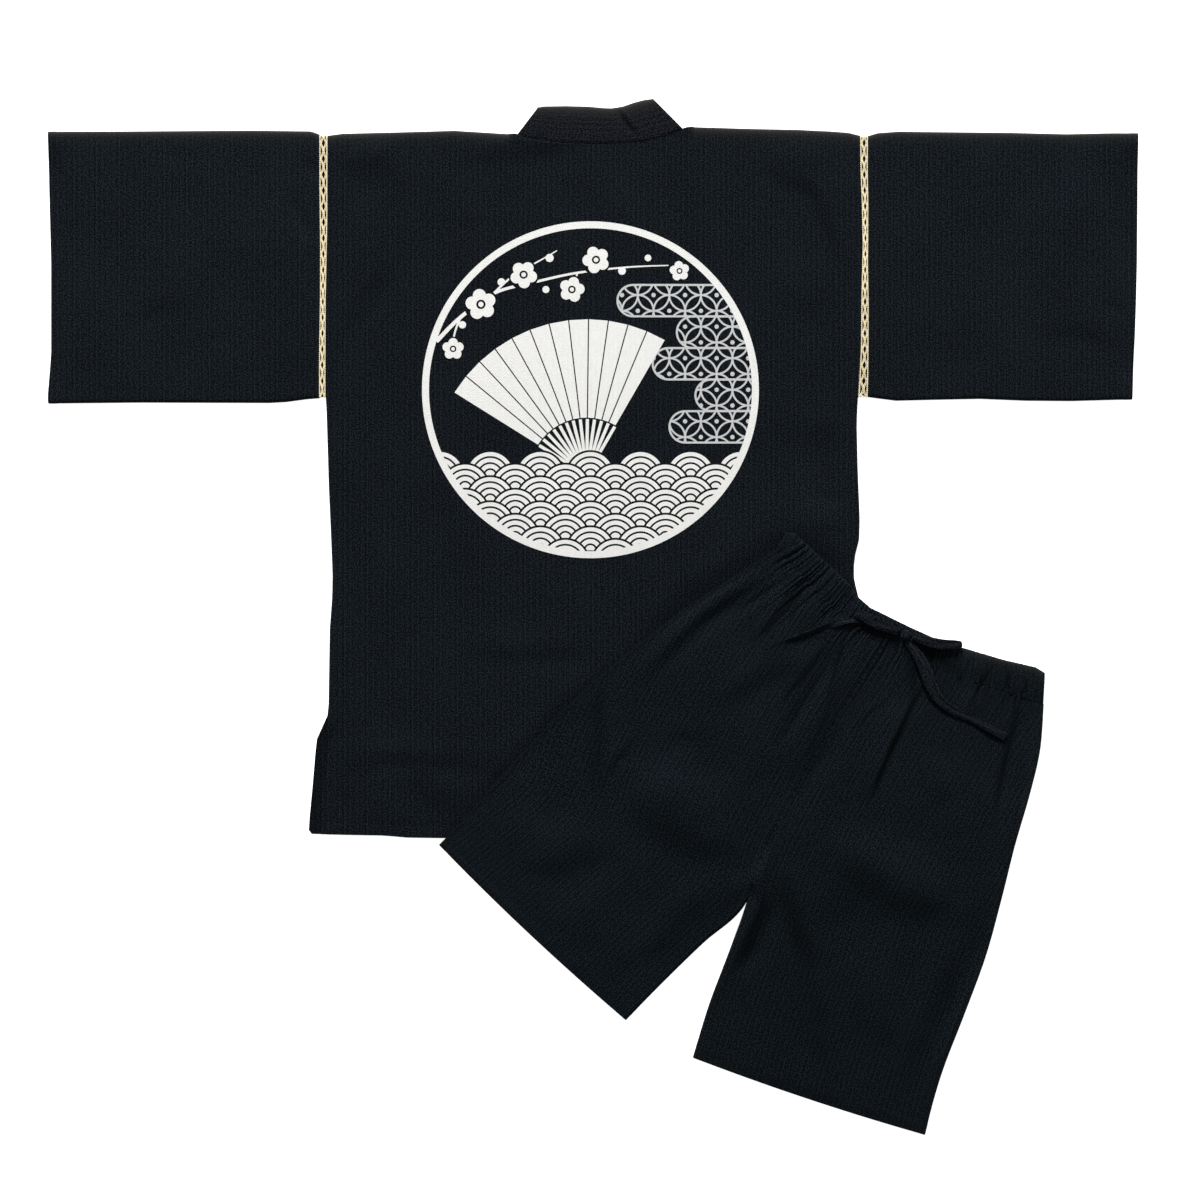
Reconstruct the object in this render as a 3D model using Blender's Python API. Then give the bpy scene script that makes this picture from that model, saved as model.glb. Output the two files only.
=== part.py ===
# A jinbei set laid out flat: the jacket face down, its back upwards, and the short trousers on its lower right.
# Metres, +Z up. The origin is the middle of the set's footprint, on the surface it lies on.
# Sizes below are in millimetres. Every piece is a wall of cloth round a mid-surface, made from a grid of points.
import math
from collections import namedtuple

import bmesh
import bpy
from mathutils import Vector

for old in list(bpy.data.objects):
    bpy.data.objects.remove(old, do_unlink=True)

MM = 0.001

# cloth
CLOTH = 1.2              # wall of one layer
BAND = 1.6               # collar, cloth folded double
WAIST_WALL = 2.4         # waistband, two layers with the elastic between them
LACE = 1.0               # ladder lace
STRIP = 1.0              # the jacket's ties
SEAM = 0.3               # gap between pieces that are sewn together, and between layers that touch
ROUND = 3.0              # how far the rounding of a fold or a closed seam reaches in from the edge
LIP = 3                  # mesh lines in a quarter turn

# layers of the jacket, as heights of their mid-surfaces
FRONT_Z = CLOTH / 2
BACK_Z = 4.45
SEAM_Z = (FRONT_Z + BACK_Z) / 2
OVERLAP_LIFT = BAND + SEAM                       # how far the right front stands up where it lies on the left one
BACK_HEM_Z = 4.2
VENT_Z = FRONT_Z + CLOTH + SEAM
OVERLAP_START, OVERLAP_RAMP = 30.0, 40.0         # the right front comes down over this width beyond the left band
HEM_RAMP, VENT_RAMP, VENT_WIDTH = 22.0, 25.0, 20.0  # how far the open hem and vent take to sink
SIDE_RAMP, VENT_SEAM_RAMP = 6.0, 10.0            # the side seam opens over these lengths at its ends
NECK_MARGIN, NECK_RAMP = 12.0, 8.0               # the shoulder seam stops this far from the neck, over this length
BACK_ACROSS, LEFT_ACROSS, RIGHT_ACROSS = 18, 3, 9

# trousers: their own frame, turned on the surface, U along the waist and V down the legs
TROUSERS_X, TROUSERS_Y = 347.8, 12.4
TROUSERS_TURN = math.radians(27.887)
TROUSERS_REST = BACK_Z + CLOTH / 2 + SEAM        # what lies on the jacket starts here
LEG_LOFT = 4.0           # upper layer's mid-surface over the underside
WAIST_LOFT = 5.0         # the same at the waist seam
LEDGE_X, LEDGE_Y = 308.0, -254.0                 # the trousers start to come down past these, off the jacket
DRAPE = 44.0             # how far they take to reach the surface
WAIST_GATHERS = 60
GATHER_DEPTH = 0.6
LEG_GATHERS = 9
LEG_GATHER_DEPTH = 0.7
LEG_GATHER_REACH = 0.2   # how far down the legs the gathers reach, as a share of their length
LEG_GATHER_FADE = 8      # the gathers and the folds die out over one part in this many at the leg's edges
LEG_FOLD_FADE = 5
WAIST_REACH = 0.12       # shares of the leg's length over which the waist's and the hem's heights take hold
HEM_REACH = 0.07
LEG_ACROSS_BACK = 9
BAND_RISE = 0.4          # the waistband stands this much over the legs
BAND_ROWS, BAND_BACK = 2, 16
BAND_FADE = 14           # its gathers die out over one part in this many at its ends
BAND_TOP_SHARE = 0.55    # and are this much as deep along its top
HEM_LOFT = 3.2
DEEPEST, HIGHEST = -1.7, 1.2                     # limits of the folds in the legs' upper layer
LEG_ROWS = [0, 0.02, 0.05, 0.09, 0.14, 0.2, 0.26, 0.32, 0.38, 0.44, 0.5, 0.56, 0.62, 0.68, 0.74, 0.8, 0.86,
            0.92, 0.965, 1]

Edge = namedtuple("Edge", "at value")
Section = namedtuple("Section", "outer_u outer_v inner_u inner_v bow")
Crease = namedtuple("Crease", "points width height")
Node = namedtuple("Node", "x y z")

# jacket outline: half-width of the sides against Y, and height of the ends against X
SIDE_LEFT = [Edge(-104, -286), Edge(-15, -284.6), Edge(20, -282), Edge(45, -281.6), Edge(90, -283.4),
             Edge(140, -285.6), Edge(200, -287.4), Edge(240, -288.6), Edge(340, -288.4), Edge(430, -286.4),
             Edge(518, -286.2)]
BACK_LEFT = [Edge(-238, -294), Edge(-188, -292), Edge(-140, -291.5), Edge(-122, -286.4)] + SIDE_LEFT
BACK_RIGHT = [Edge(-238, 292), Edge(-128, 288), Edge(19, 286), Edge(40, 281), Edge(60, 281), Edge(82, 286.6),
              Edge(105, 287.2), Edge(160, 285), Edge(205, 284), Edge(235, 285), Edge(290, 288),
              Edge(340, 288.4), Edge(400, 290), Edge(440, 289), Edge(480, 287.4), Edge(518, 287)]
HEM = [Edge(-308, -231), Edge(-304, -236), Edge(-230, -237), Edge(-200, -239.5), Edge(-166, -240),
       Edge(100, -238), Edge(292, -238)]
SHOULDERS = [Edge(-288, 517.5), Edge(-270, 519.8), Edge(-209, 521.3), Edge(-150, 523), Edge(-110, 520.5),
             Edge(-90, 519.2), Edge(-82, 519), Edge(-73, 514), Edge(-36, 509), Edge(7, 508), Edge(50, 510),
             Edge(80, 517), Edge(98.5, 526), Edge(104, 527), Edge(170, 525), Edge(220, 524), Edge(255, 522.3),
             Edge(275, 520.8), Edge(290, 517)]
NECK_LEFT, NECK_RIGHT = -82.0, 98.5
FRONT_LEFT_SIDE = [Edge(-238, -307.6), Edge(-224, -307.2), Edge(-184, -303.4), Edge(-144, -300),
                   Edge(-134, -299), Edge(-124, -295), Edge(-114, -289)] + SIDE_LEFT
LEFT_OPENING = [Edge(-238, 100), Edge(-20, 100), Edge(519, NECK_LEFT)]
RIGHT_OPENING = [Edge(-238, -82), Edge(-20, -82), Edge(526, NECK_RIGHT)]
LEFT_BAND_FREE = [Edge(-238, 101), Edge(100, 101), Edge(548, -56)]
COLLAR_TOP = [Edge(-59, 547.6), Edge(-54, 548.6), Edge(-30, 549), Edge(-6, 548.4), Edge(12, 546.8),
              Edge(20, 546.6), Edge(32, 548.6), Edge(44, 552.8), Edge(55, 555.6), Edge(65, 556.8)]
BAND_END = 120.0         # the collar's slanted end, measured down the front opening
COLLAR_ACROSS = 2
COLLAR_LEFT_ROWS, COLLAR_NECK_ROWS, COLLAR_RIGHT_ROWS = 8, 11, 11
COLLAR_TIP_X, COLLAR_TIP_Y = 0.65, -0.3          # its folds lie this far in from the corners
COLLAR_NEAR_FRONT, COLLAR_NEAR_BACK = 0.008, 0.025    # where its folds begin, as shares of the front and back
VENT_TOP = -111.0
ARMHOLE = 233.0

# heights up the body where its panels have a line of points, closer at the creases
BACK_LEVELS = [-214, -188, -174, -160, -146, -128, -106, -64, -45, -26, 20, 45, 82, 128, 166, 222,
               240, 290, 340, 400, 430, 440, 480]
FRONT_LEVELS = [-184, -144, -124, -104, -20, 20, 45, 82, 160, 222, 240, 290, 340, 400, 430, 440, 480]

# sleeves and their lace
# a sleeve's outline: its inner edge, its fold and seam by distance out, and its cuff by height
Sleeve = namedtuple("Sleeve", "inner fold seam cuff")
SLEEVE_LEFT = Sleeve(
    inner=-295.8,
    fold=[Edge(294, 517), Edge(299, 520), Edge(306, 522.4), Edge(370, 523.2), Edge(430, 522.8), Edge(590, 522)],
    seam=[Edge(294, 234.5), Edge(310, 233.2), Edge(332, 230.2), Edge(350, 229.2), Edge(490, 229.6),
          Edge(590, 228.6)],
    cuff=[Edge(228, 588), Edge(240, 588), Edge(262, 586.6), Edge(285, 585.2), Edge(380, 585.2), Edge(460, 587.2),
          Edge(522, 588.2)])
SLEEVE_RIGHT = Sleeve(
    inner=296.5,
    fold=[Edge(294, 516.5), Edge(299, 518), Edge(307, 520.4), Edge(330, 522.2), Edge(350, 521.8), Edge(450, 520.8),
          Edge(510, 519.3), Edge(560, 520.4), Edge(590, 520.2)],
    seam=[Edge(294, 236), Edge(310, 233.8), Edge(328, 231.6), Edge(370, 232.6), Edge(420, 233.6), Edge(470, 231.6),
          Edge(520, 231.2), Edge(590, 233)],
    cuff=[Edge(230, 580.6), Edge(262, 582), Edge(300, 584), Edge(340, 585.4), Edge(380, 586.3), Edge(440, 586.8),
          Edge(520, 587.2)])
SLEEVE_START, SLEEVE_END = 296.0, 587.0          # distances out where its tables are read, first and last row
SLEEVE_ROWS = [0, 0.015, 0.04, 0.12, 0.26, 0.42, 0.6, 0.76, 0.9, 1]
SLEEVE_ACROSS_BACK, SLEEVE_ACROSS_FRONT = 8, 3
SLEEVE_FADE = 6          # its shaping dies out over one part in this many at the fold and the seam
CUFF_Z = 2.6
CUFF_REACH = 0.1         # share of the sleeve over which it sinks to the cuff
LACE_END = 234.5
LACE_TOP = 0.4           # the lace stops this far under the shoulder fold
LACE_FIRST = 9.0         # its first gap starts this far down
LACE_GAPS = 16
LACE_PITCH = 17.1
LACE_GAP_SHARE, LACE_GAP_HEIGHT = 0.52, 6.2      # width of a gap as a share of the lace's, and its height

# creases of the jacket back, in its own X and Y
BACK_CREASES = [
    Crease([(-288, -161), (-209, -147), (-133, -161), (-90, -167)], 9, -1.4),
    Crease([(-155, -43), (-79, -48), (0, -38)], 8, 0.5),
    Crease([(-144, 427), (-58, 425)], 9, -0.4),
    Crease([(212, 465), (245, 443), (253, 406), (284, 384)], 9, -1.1),
    Crease([(-214, 379), (-268, 308)], 11, -1.0),
    Crease([(232, 129), (284, 128)], 7, -1.0),
    Crease([(-187, -178), (-156, -216)], 10, 0.5),
]
SLEEVE_CREASES = [
    Crease([(-560, 290), (-470, 330)], 14, -0.8),
    Crease([(470, 300), (560, 262)], 14, -0.8),
]

# trousers outline in U and V, a row for each section from the waist seam to the hem
LEG_LEFT = [
    Section(-161, 18, -11, 57, 5),
    Section(-192, 74, -15, 110, 2),
    Section(-218, 121, -19, 154, 0),
    Section(-243, 175, -21, 210, 0),
    Section(-266, 231, -22, 264, 0),
    Section(-286, 290, -21, 314, 0),
    Section(-305, 361, -12.5, 376, 0),
    Section(-318, 414, -31.5, 430, 1),
    Section(-327, 448, -49.5, 486, 2),
    Section(-333, 469.5, -66.5, 543, 3.3),
]
LEG_RIGHT = [
    Section(172.5, 31, -11, 57, 3),
    Section(192, 76, -15, 110, 1),
    Section(204.5, 123, -19, 154, 0),
    Section(216.5, 181, -21, 210, 0),
    Section(230.5, 238, -22, 264, 0),
    Section(244.5, 301, -21, 314, 0),
    Section(253.5, 367, -8.5, 376, 0),
    Section(260, 423, -2.7, 430, 1),
    Section(267, 462, 4.8, 488, 2),
    Section(276.5, 501.5, 16, 545, 3),
]
CROTCH_ROW = 5           # sections past this one are closed at the inseam
CROTCH_START = 0.2       # the closing starts this part of a section before it
WAIST_TOP = [Edge(-160, -2), Edge(-152, -6), Edge(-126, 1), Edge(-89, 11), Edge(-74, 15.5), Edge(-58, 23.5),
             Edge(-42, 27), Edge(6, 25.5), Edge(37, 23.5), Edge(68, 18), Edge(110, 9.5), Edge(146, 0),
             Edge(158, 1)]
LEG_CREASES = [
    Crease([(-134, 25), (-179, 78), (-202, 139), (-220, 221)], 14, -1.3),
    Crease([(-255, 252), (-224, 324), (-201, 363)], 13, -1.3),
    Crease([(-180, 326), (-120, 351), (-70, 331), (-38, 304)], 11, -1.3),
    Crease([(-223, 452), (-179, 377)], 13, 0.9),
    Crease([(-115, 60), (-137, 130)], 9, 0.9),
    Crease([(-73, 70), (-70, 100), (-76, 153), (-98, 257)], 11, -1.2),
    Crease([(50, 80), (50, 188), (59, 228)], 7, -1.8),
    Crease([(64, 84), (66, 188), (72, 236)], 8, 1.2),
    Crease([(30, 276), (99, 291), (192, 272)], 13, -1.2),
    Crease([(140, 50), (162, 99), (176, 173), (192, 233), (215, 309), (232, 416)], 13, -1.1),
    Crease([(4, 312), (28, 359), (80, 399)], 9, -1.2),
    Crease([(-38, 343), (-54, 396), (-79, 464)], 10, -1.3),
    Crease([(-36, 70), (-33, 123), (-34, 207)], 7, -1.2),
]

# waist tie: middle line in U and V, and how high its underside lies over the rest height
TIE_WIDTH = 10.0
TIE_TOP = 7.6
KNOT = Node(6, 34, 0)
KNOT_SIZE = (15.0, 12.0, 6.4)
TIE_TAIL_LEFT = [Node(-3, 37, 7.8), Node(-20, 40, 7.8), Node(-44, 43, 7.8), Node(-62, 55, 7.6),
                 Node(-76, 70, 6.2), Node(-92, 88, 5.9), Node(-109, 107, 5.9)]
TIE_TAIL_RIGHT = [Node(9, 43, 7.6), Node(21, 52, 7.4), Node(36, 61, 6.8), Node(50, 70, 6.5), Node(69, 79, 6.9),
                  Node(88, 82, 6.5), Node(109, 82, 6.2), Node(131, 82, 6.0), Node(151, 82, 5.9)]
TIE_LOOP_LEFT = [Node(-5, 33, 9.3), Node(-20, 32, 9.3), Node(-38, 32, 9.3), Node(-54, 33, 9.3)]
TIE_LOOP_RIGHT = [Node(15, 32, 7.6), Node(30, 29, 7.6), Node(45, 24, 7.6), Node(60, 17, 7.6)]
TAIL_STEPS_LEFT, TAIL_STEPS_RIGHT, LOOP_STEPS = 12, 16, 6
LOOP_GAP = 0.2           # the loops' layers stand this much further apart than sewn ones
LOOP_BULGE = 1.5         # and turn over this far past the route's end
LOOP_TURN = (-50, 0, 50)  # degrees of the lines round that turn
HEADING_STEP = 0.02      # share of a route over which its heading is taken

# the jacket's four ties, tucked in between its layers: middle line and the height of the underside
HIMO_WIDTH = 12.0
HIMO_STEPS = 6
HIMO = {
    "himo_inner_seam": [Node(-277, 12, 1.5), Node(-215, 30, 1.5), Node(-150, 24, 1.5), Node(-112, 8, 1.5)],
    "himo_inner_front": [Node(-90, -26, 1.5), Node(-130, -44, 1.5), Node(-185, -52, 1.5), Node(-235, -84, 1.5)],
    "himo_outer_front": [Node(106.4, -24, 0), Node(106.4, -70, 0), Node(106.6, -120, 0), Node(106.4, -170, 0)],
    "himo_outer_seam": [Node(276, -12, 1.5), Node(268, -50, 1.5), Node(250, -92, 1.5), Node(240, -140, 1.5)],
}

INDIGO = (0.0075, 0.0100, 0.0135)
CREAM = (0.72, 0.63, 0.36)


def smooth(value):
    value = min(max(value, 0.0), 1.0)
    return value * value * (3 - 2 * value)


def mix(a, b, share):
    return a + (b - a) * share


def read(table, at):
    # straight lines between a table's rows
    if at <= table[0].at:
        return table[0].value
    for low, high in zip(table, table[1:]):
        if at <= high.at:
            return mix(low.value, high.value, (at - low.at) / (high.at - low.at))
    return table[-1].value


def spline(rows, share):
    # a smooth curve through rows of numbers, share 0 at the first row and 1 at the last
    span = share * (len(rows) - 1)
    low = min(int(span), len(rows) - 2)
    part = span - low
    before = rows[max(low - 1, 0)]
    after = rows[min(low + 2, len(rows) - 1)]
    start, end = rows[low], rows[low + 1]
    return [mix_cubic(*four, part) for four in zip(before, start, end, after)]


def mix_cubic(p0, p1, p2, p3, t):
    return 0.5 * (2 * p1 + (p2 - p0) * t + (2 * p0 - 5 * p1 + 4 * p2 - p3) * t ** 2
                  + (3 * p1 - p0 - 3 * p2 + p3) * t ** 3)


def relief(creases, x, y):
    # height that soft folds add at a point: ridges up, troughs down, fading out at their ends
    total = 0.0
    for crease in creases:
        legs = list(zip(crease.points, crease.points[1:]))
        lengths = [math.dist(a, b) for a, b in legs]
        passed, best, along = 0.0, None, 0.0
        for (a, b), length in zip(legs, lengths):
            share = ((x - a[0]) * (b[0] - a[0]) + (y - a[1]) * (b[1] - a[1])) / length ** 2
            share = min(max(share, 0.0), 1.0)
            gap = math.hypot(x - mix(a[0], b[0], share), y - mix(a[1], b[1], share))
            if best is None or gap < best:
                best, along = gap, passed + share * length
            passed += length
        fade = smooth(3.2 * min(along, passed - along) / passed)
        total += crease.height * fade * math.exp(-(best / crease.width) ** 2)
    return total


def lip(step, closed):
    # one of the lines beside an edge: its distance in, how much of the turn's height it has, and its lean
    turn = 0.5 * math.pi * step / LIP
    flat = (ROUND + CLOTH / 2) * (1 - step / LIP)
    curved = CLOTH / 2 + ROUND * (1 - math.sin(turn))
    return mix(flat, curved, closed), (1 - math.cos(turn)) * closed, turn * closed


def wall(name, grid, thickness, colour, roughness=0.9, loop=False, flat_foot=False):
    # closed solid round a grid of (point, normal or None): the grid moved out by half the wall on both sides
    rows, columns = len(grid), len(grid[0])
    mesh = bmesh.new()
    sides = ([], [])
    for r in range(rows):
        for c in range(columns):
            point, normal = grid[r][c]
            if normal is None:
                ahead, behind = min(r + 1, rows - 1), max(r - 1, 0)
                right = (c + 1) % columns if loop else min(c + 1, columns - 1)
                left = (c - 1) % columns if loop else max(c - 1, 0)
                across = grid[r][right][0] - grid[r][left][0]
                along = grid[ahead][c][0] - grid[behind][c][0]
                normal = across.cross(along).normalized()
            for side, sign in zip(sides, (1, -1)):
                moved = point + normal * (sign * thickness / 2)
                if flat_foot and moved.z < 0.02:
                    moved.z = 0.0
                side.append(mesh.verts.new(moved * MM))
    turns = columns if loop else columns - 1
    for side, flip in zip(sides, (False, True)):
        for r in range(rows - 1):
            for c in range(turns):
                d = (c + 1) % columns
                corner = [side[r * columns + c], side[r * columns + d],
                          side[(r + 1) * columns + d], side[(r + 1) * columns + c]]
                mesh.faces.new(corner[::-1] if flip else corner)
    top, under = sides
    for c in range(turns):
        d = (c + 1) % columns
        mesh.faces.new([under[c], under[d], top[d], top[c]])
        last = (rows - 1) * columns
        mesh.faces.new([top[last + c], top[last + d], under[last + d], under[last + c]])
    if not loop:
        for r in range(rows - 1):
            low, high = r * columns, (r + 1) * columns
            mesh.faces.new([top[low], top[high], under[high], under[low]])
            end = columns - 1
            mesh.faces.new([under[low + end], under[high + end], top[high + end], top[low + end]])
    return finish(name, mesh, colour, roughness)


def finish(name, mesh, colour, roughness=0.9):
    bmesh.ops.triangulate(mesh, faces=mesh.faces[:], quad_method="SHORT_EDGE")
    bmesh.ops.recalc_face_normals(mesh, faces=mesh.faces[:])
    if mesh.calc_volume(signed=True) < 0:
        bmesh.ops.reverse_faces(mesh, faces=mesh.faces[:])
    data = bpy.data.meshes.new(name)
    mesh.to_mesh(data)
    mesh.free()
    item = bpy.data.objects.new(name, data)
    bpy.context.scene.collection.objects.link(item)
    data.shade_smooth()
    data.set_sharp_from_angle(angle=math.radians(40))
    finish_material = bpy.data.materials.new(name + "_cloth")
    finish_material.use_nodes = True
    shader = finish_material.node_tree.nodes["Principled BSDF"]
    shader.inputs["Base Color"].default_value = (*colour, 1)
    shader.inputs["Roughness"].default_value = roughness
    shader.inputs["Metallic"].default_value = 0
    data.materials.append(finish_material)
    return item


def stations(start, end, inner, start_closed, end_closed):
    # places between two edges as (place, drop, lean, side): both edges' own lines and the inner ones
    found = []
    for step in range(LIP, -1, -1):
        inset, drop, lean = lip(step, start_closed)
        found.append((start + inset, drop, lean, -1))
    found += [(place, 0.0, 0.0, 0) for place in inner]
    for step in range(LIP + 1):
        inset, drop, lean = lip(step, end_closed)
        found.append((end - inset, drop, lean, 1))
    return found


def panel(name, left, right, hem, top, levels, across, height, closed, upper):
    # a flat piece between four edges; closed says how far each edge is turned to meet the layer on its other side
    sense = 1 if upper else -1
    seam_z = SEAM_Z + sense * SEAM / 2

    def rows_at(x):
        return stations(read(hem, x), read(top, x), levels, closed["hem"](x), closed["top"](x))

    def edge_at(table, r):
        x = read(table, levels[min(max(r - LIP - 1, 0), len(levels) - 1)])
        for _ in range(8):
            x = read(table, rows_at(x)[r][0])
        return x

    grid = []
    for r in range(len(levels) + 2 * LIP + 2):
        x0, x1 = edge_at(left, r), edge_at(right, r)
        level = rows_at(x0)[r][0]
        inner = [mix(x0, x1, i / across) for i in range(1, across)]
        line = []
        for x, drop_x, lean_x, side_x in stations(x0, x1, inner, closed["left"](level), closed["right"](level)):
            y, drop_y, lean_y, side_y = rows_at(x)[r]
            z = height(x, y)
            normal = None
            if lean_x > 0 or lean_y > 0:
                deep = abs(z - seam_z)
                out = Vector((side_x * math.sin(lean_x), side_y * math.sin(lean_y), 0)) / ROUND
                facing = Vector((0, 0, math.cos(max(lean_x, lean_y)))) / deep
                normal = (out * sense + facing).normalized()
            line.append((Vector((x, y, mix(z, seam_z, max(drop_x, drop_y)))), normal))
        grid.append(line)
    wall(name, grid, CLOTH, INDIGO, flat_foot=not upper)
    return grid


def never(_):
    return 0.0


def side_seam(y):
    # the sides are sewn from the armhole down to the vent
    return smooth((ARMHOLE + SEAM - y) / SIDE_RAMP) * smooth((y - VENT_TOP) / VENT_SEAM_RAMP)


def shoulder_seam(x):
    # the shoulders are sewn, the neck between them is open
    from_left, from_right = x - NECK_LEFT + NECK_MARGIN, NECK_RIGHT + NECK_MARGIN - x
    return 1 - smooth(from_left / NECK_RAMP) * smooth(from_right / NECK_RAMP)


def overlap(x, y):
    # 1 where the right front lies on the left one, 0 where it lies on the surface
    return 1 - smooth((x - read(LEFT_BAND_FREE, y) - OVERLAP_START) / OVERLAP_RAMP)


def back_height(x, y):
    open_hem = mix(BACK_HEM_Z, BACK_Z, smooth((y - read(HEM, x)) / HEM_RAMP))
    by_vent = smooth((VENT_TOP - y) / VENT_RAMP) * (1 - smooth((x - BACK_LEFT[0].value) / VENT_WIDTH))
    return mix(open_hem, VENT_Z, by_vent) + relief(BACK_CREASES, x, y)


def front_height(_x, _y):
    return FRONT_Z


def right_front_height(x, y):
    return FRONT_Z + OVERLAP_LIFT * overlap(x, y)


def make_body():
    closed = {"left": side_seam, "right": side_seam, "hem": never, "top": shoulder_seam}
    back = panel("back", BACK_LEFT, BACK_RIGHT, HEM, SHOULDERS, BACK_LEVELS, BACK_ACROSS, back_height,
                 closed, True)
    panel("front_left", FRONT_LEFT_SIDE, LEFT_OPENING, HEM, SHOULDERS, FRONT_LEVELS, LEFT_ACROSS, front_height,
          {**closed, "right": never}, False)
    panel("front_right", RIGHT_OPENING, BACK_RIGHT, HEM, SHOULDERS, FRONT_LEVELS, RIGHT_ACROSS, right_front_height,
          {**closed, "left": never}, False)
    return [Edge(point.x, point.y) for point, _ in back[-1]]


def collar_pair(place, share, neck_line):
    # seam and free points of the collar: place 0 the left front, 1 across the back neck, 2 the right front
    if place == 1:
        seam_x = mix(NECK_LEFT, NECK_RIGHT, share)
        free_x = mix(COLLAR_TOP[0].at, COLLAR_TOP[-1].at, share)
        return Vector((seam_x, read(neck_line, seam_x) + SEAM)), Vector((free_x, read(COLLAR_TOP, free_x)))
    neck, free_top = (NECK_LEFT, COLLAR_TOP[0]) if place == 0 else (NECK_RIGHT, COLLAR_TOP[-1])
    low = (LEFT_OPENING if place == 0 else RIGHT_OPENING)[1]
    shift = SEAM if place == 0 else -SEAM
    seam = Vector((low.value + shift, low.at)).lerp(Vector((neck + shift, read(SHOULDERS, neck))), share)
    free = Vector((low.value + shift, low.at + BAND_END)).lerp(Vector(free_top), share)
    return seam, free


def collar_row(place, share, neck_line):
    seam, free = collar_pair(place, share, neck_line)
    line = []
    for i in range(COLLAR_ACROSS + 1):
        spot = seam.lerp(free, i / COLLAR_ACROSS)
        z = BACK_Z if place == 1 else BAND / 2
        if place == 2:
            z += OVERLAP_LIFT * overlap(spot.x, spot.y)
        line.append(Vector((spot.x, spot.y, z)))
    return line


def collar_turn(before, after, tip):
    # rows of half a turn from one layer to the other, round the fold at tip
    rows = []
    for step in range(1, 2 * LIP):
        angle = 0.5 * math.pi * (1 - step / LIP)
        near = before if angle > 0 else after
        line = []
        for a, b, n, t in zip(before, after, near, tip):
            place = t.lerp(n, 1 - math.cos(angle))
            line.append(Vector((place.x, place.y, (a.z + b.z) / 2 + (a.z - b.z) / 2 * math.sin(angle))))
        rows.append(line)
    return rows


def make_collar(neck_line):
    # one band: up the left front, round the fold at the neck, across the back, round, and down the right front
    left, neck, right = COLLAR_LEFT_ROWS, COLLAR_NECK_ROWS, COLLAR_RIGHT_ROWS
    rows = [collar_row(0, (1 - COLLAR_NEAR_FRONT) * i / left, neck_line) for i in range(left + 1)]
    across = [collar_row(1, mix(COLLAR_NEAR_BACK, 1 - COLLAR_NEAR_BACK, i / neck), neck_line)
              for i in range(neck + 1)]
    down = [collar_row(2, (1 - COLLAR_NEAR_FRONT) * (1 - i / right), neck_line) for i in range(right + 1)]
    tip = [point + Vector((COLLAR_TIP_X, COLLAR_TIP_Y, 0)) for point in collar_row(0, 1.0, neck_line)]
    rows += collar_turn(rows[-1], across[0], tip) + across
    tip = [point + Vector((-COLLAR_TIP_X, COLLAR_TIP_Y, 0)) for point in collar_row(2, 1.0, neck_line)]
    rows += collar_turn(rows[-1], down[0], tip) + down
    wall("collar", [[(point, None) for point in line] for line in rows], BAND, INDIGO, flat_foot=True)


def folded_section(inner, outer, bow, closed, upper_z, lower_z, across_upper, across_lower):
    # one row of a piece folded round its outer edge: in along the upper layer, round, and back underneath
    length = (outer - inner).length
    out = (outer - inner) / length
    side = Vector((-abs(out.y), -abs(out.x), 0)) if out.x < 0 else Vector((out.y, -out.x, 0))
    margin = ROUND + CLOTH / 2
    spots = [lip(step, closed) for step in range(LIP, 0, -1)]

    def place(distance):
        share = distance / length
        return inner + out * distance + side * (4 * bow * share * (1 - share)), share

    def layer(distance, height):
        spot, share = place(distance)
        return Vector((spot.x, spot.y, height(spot, share))), None

    def inner_lip(inset, drop, lean, sense):
        spot, share = place(inset)
        high, low = upper_z(spot, share), lower_z(spot, share)
        start = high if sense > 0 else low
        seam_z = (high + low + sense * SEAM) / 2
        up = math.cos(lean) / abs(start - seam_z)
        normal = Vector((0, 0, sense * up)) - out * (math.sin(lean) / ROUND)
        return Vector((spot.x, spot.y, mix(start, seam_z, drop))), normal.normalized()

    line = [inner_lip(*spot, 1) for spot in spots]
    line += [layer(mix(margin, length - margin, i / across_upper), upper_z) for i in range(across_upper + 1)]
    for step in range(1, 2 * LIP):
        angle = 0.5 * math.pi * (1 - step / LIP)
        spot, share = place(length - CLOTH / 2 - ROUND * (1 - math.cos(angle)))
        high, low = upper_z(spot, share), lower_z(spot, share)
        half = (high - low) / 2
        normal = Vector((0, 0, math.sin(angle) / half)) + out * (math.cos(angle) / ROUND)
        line.append((Vector((spot.x, spot.y, low + half + half * math.sin(angle))), normal.normalized()))
    line += [layer(mix(length - margin, margin, i / across_lower), lower_z) for i in range(across_lower + 1)]
    line += [inner_lip(*spot, -1) for spot in reversed(spots)]
    return line


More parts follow.
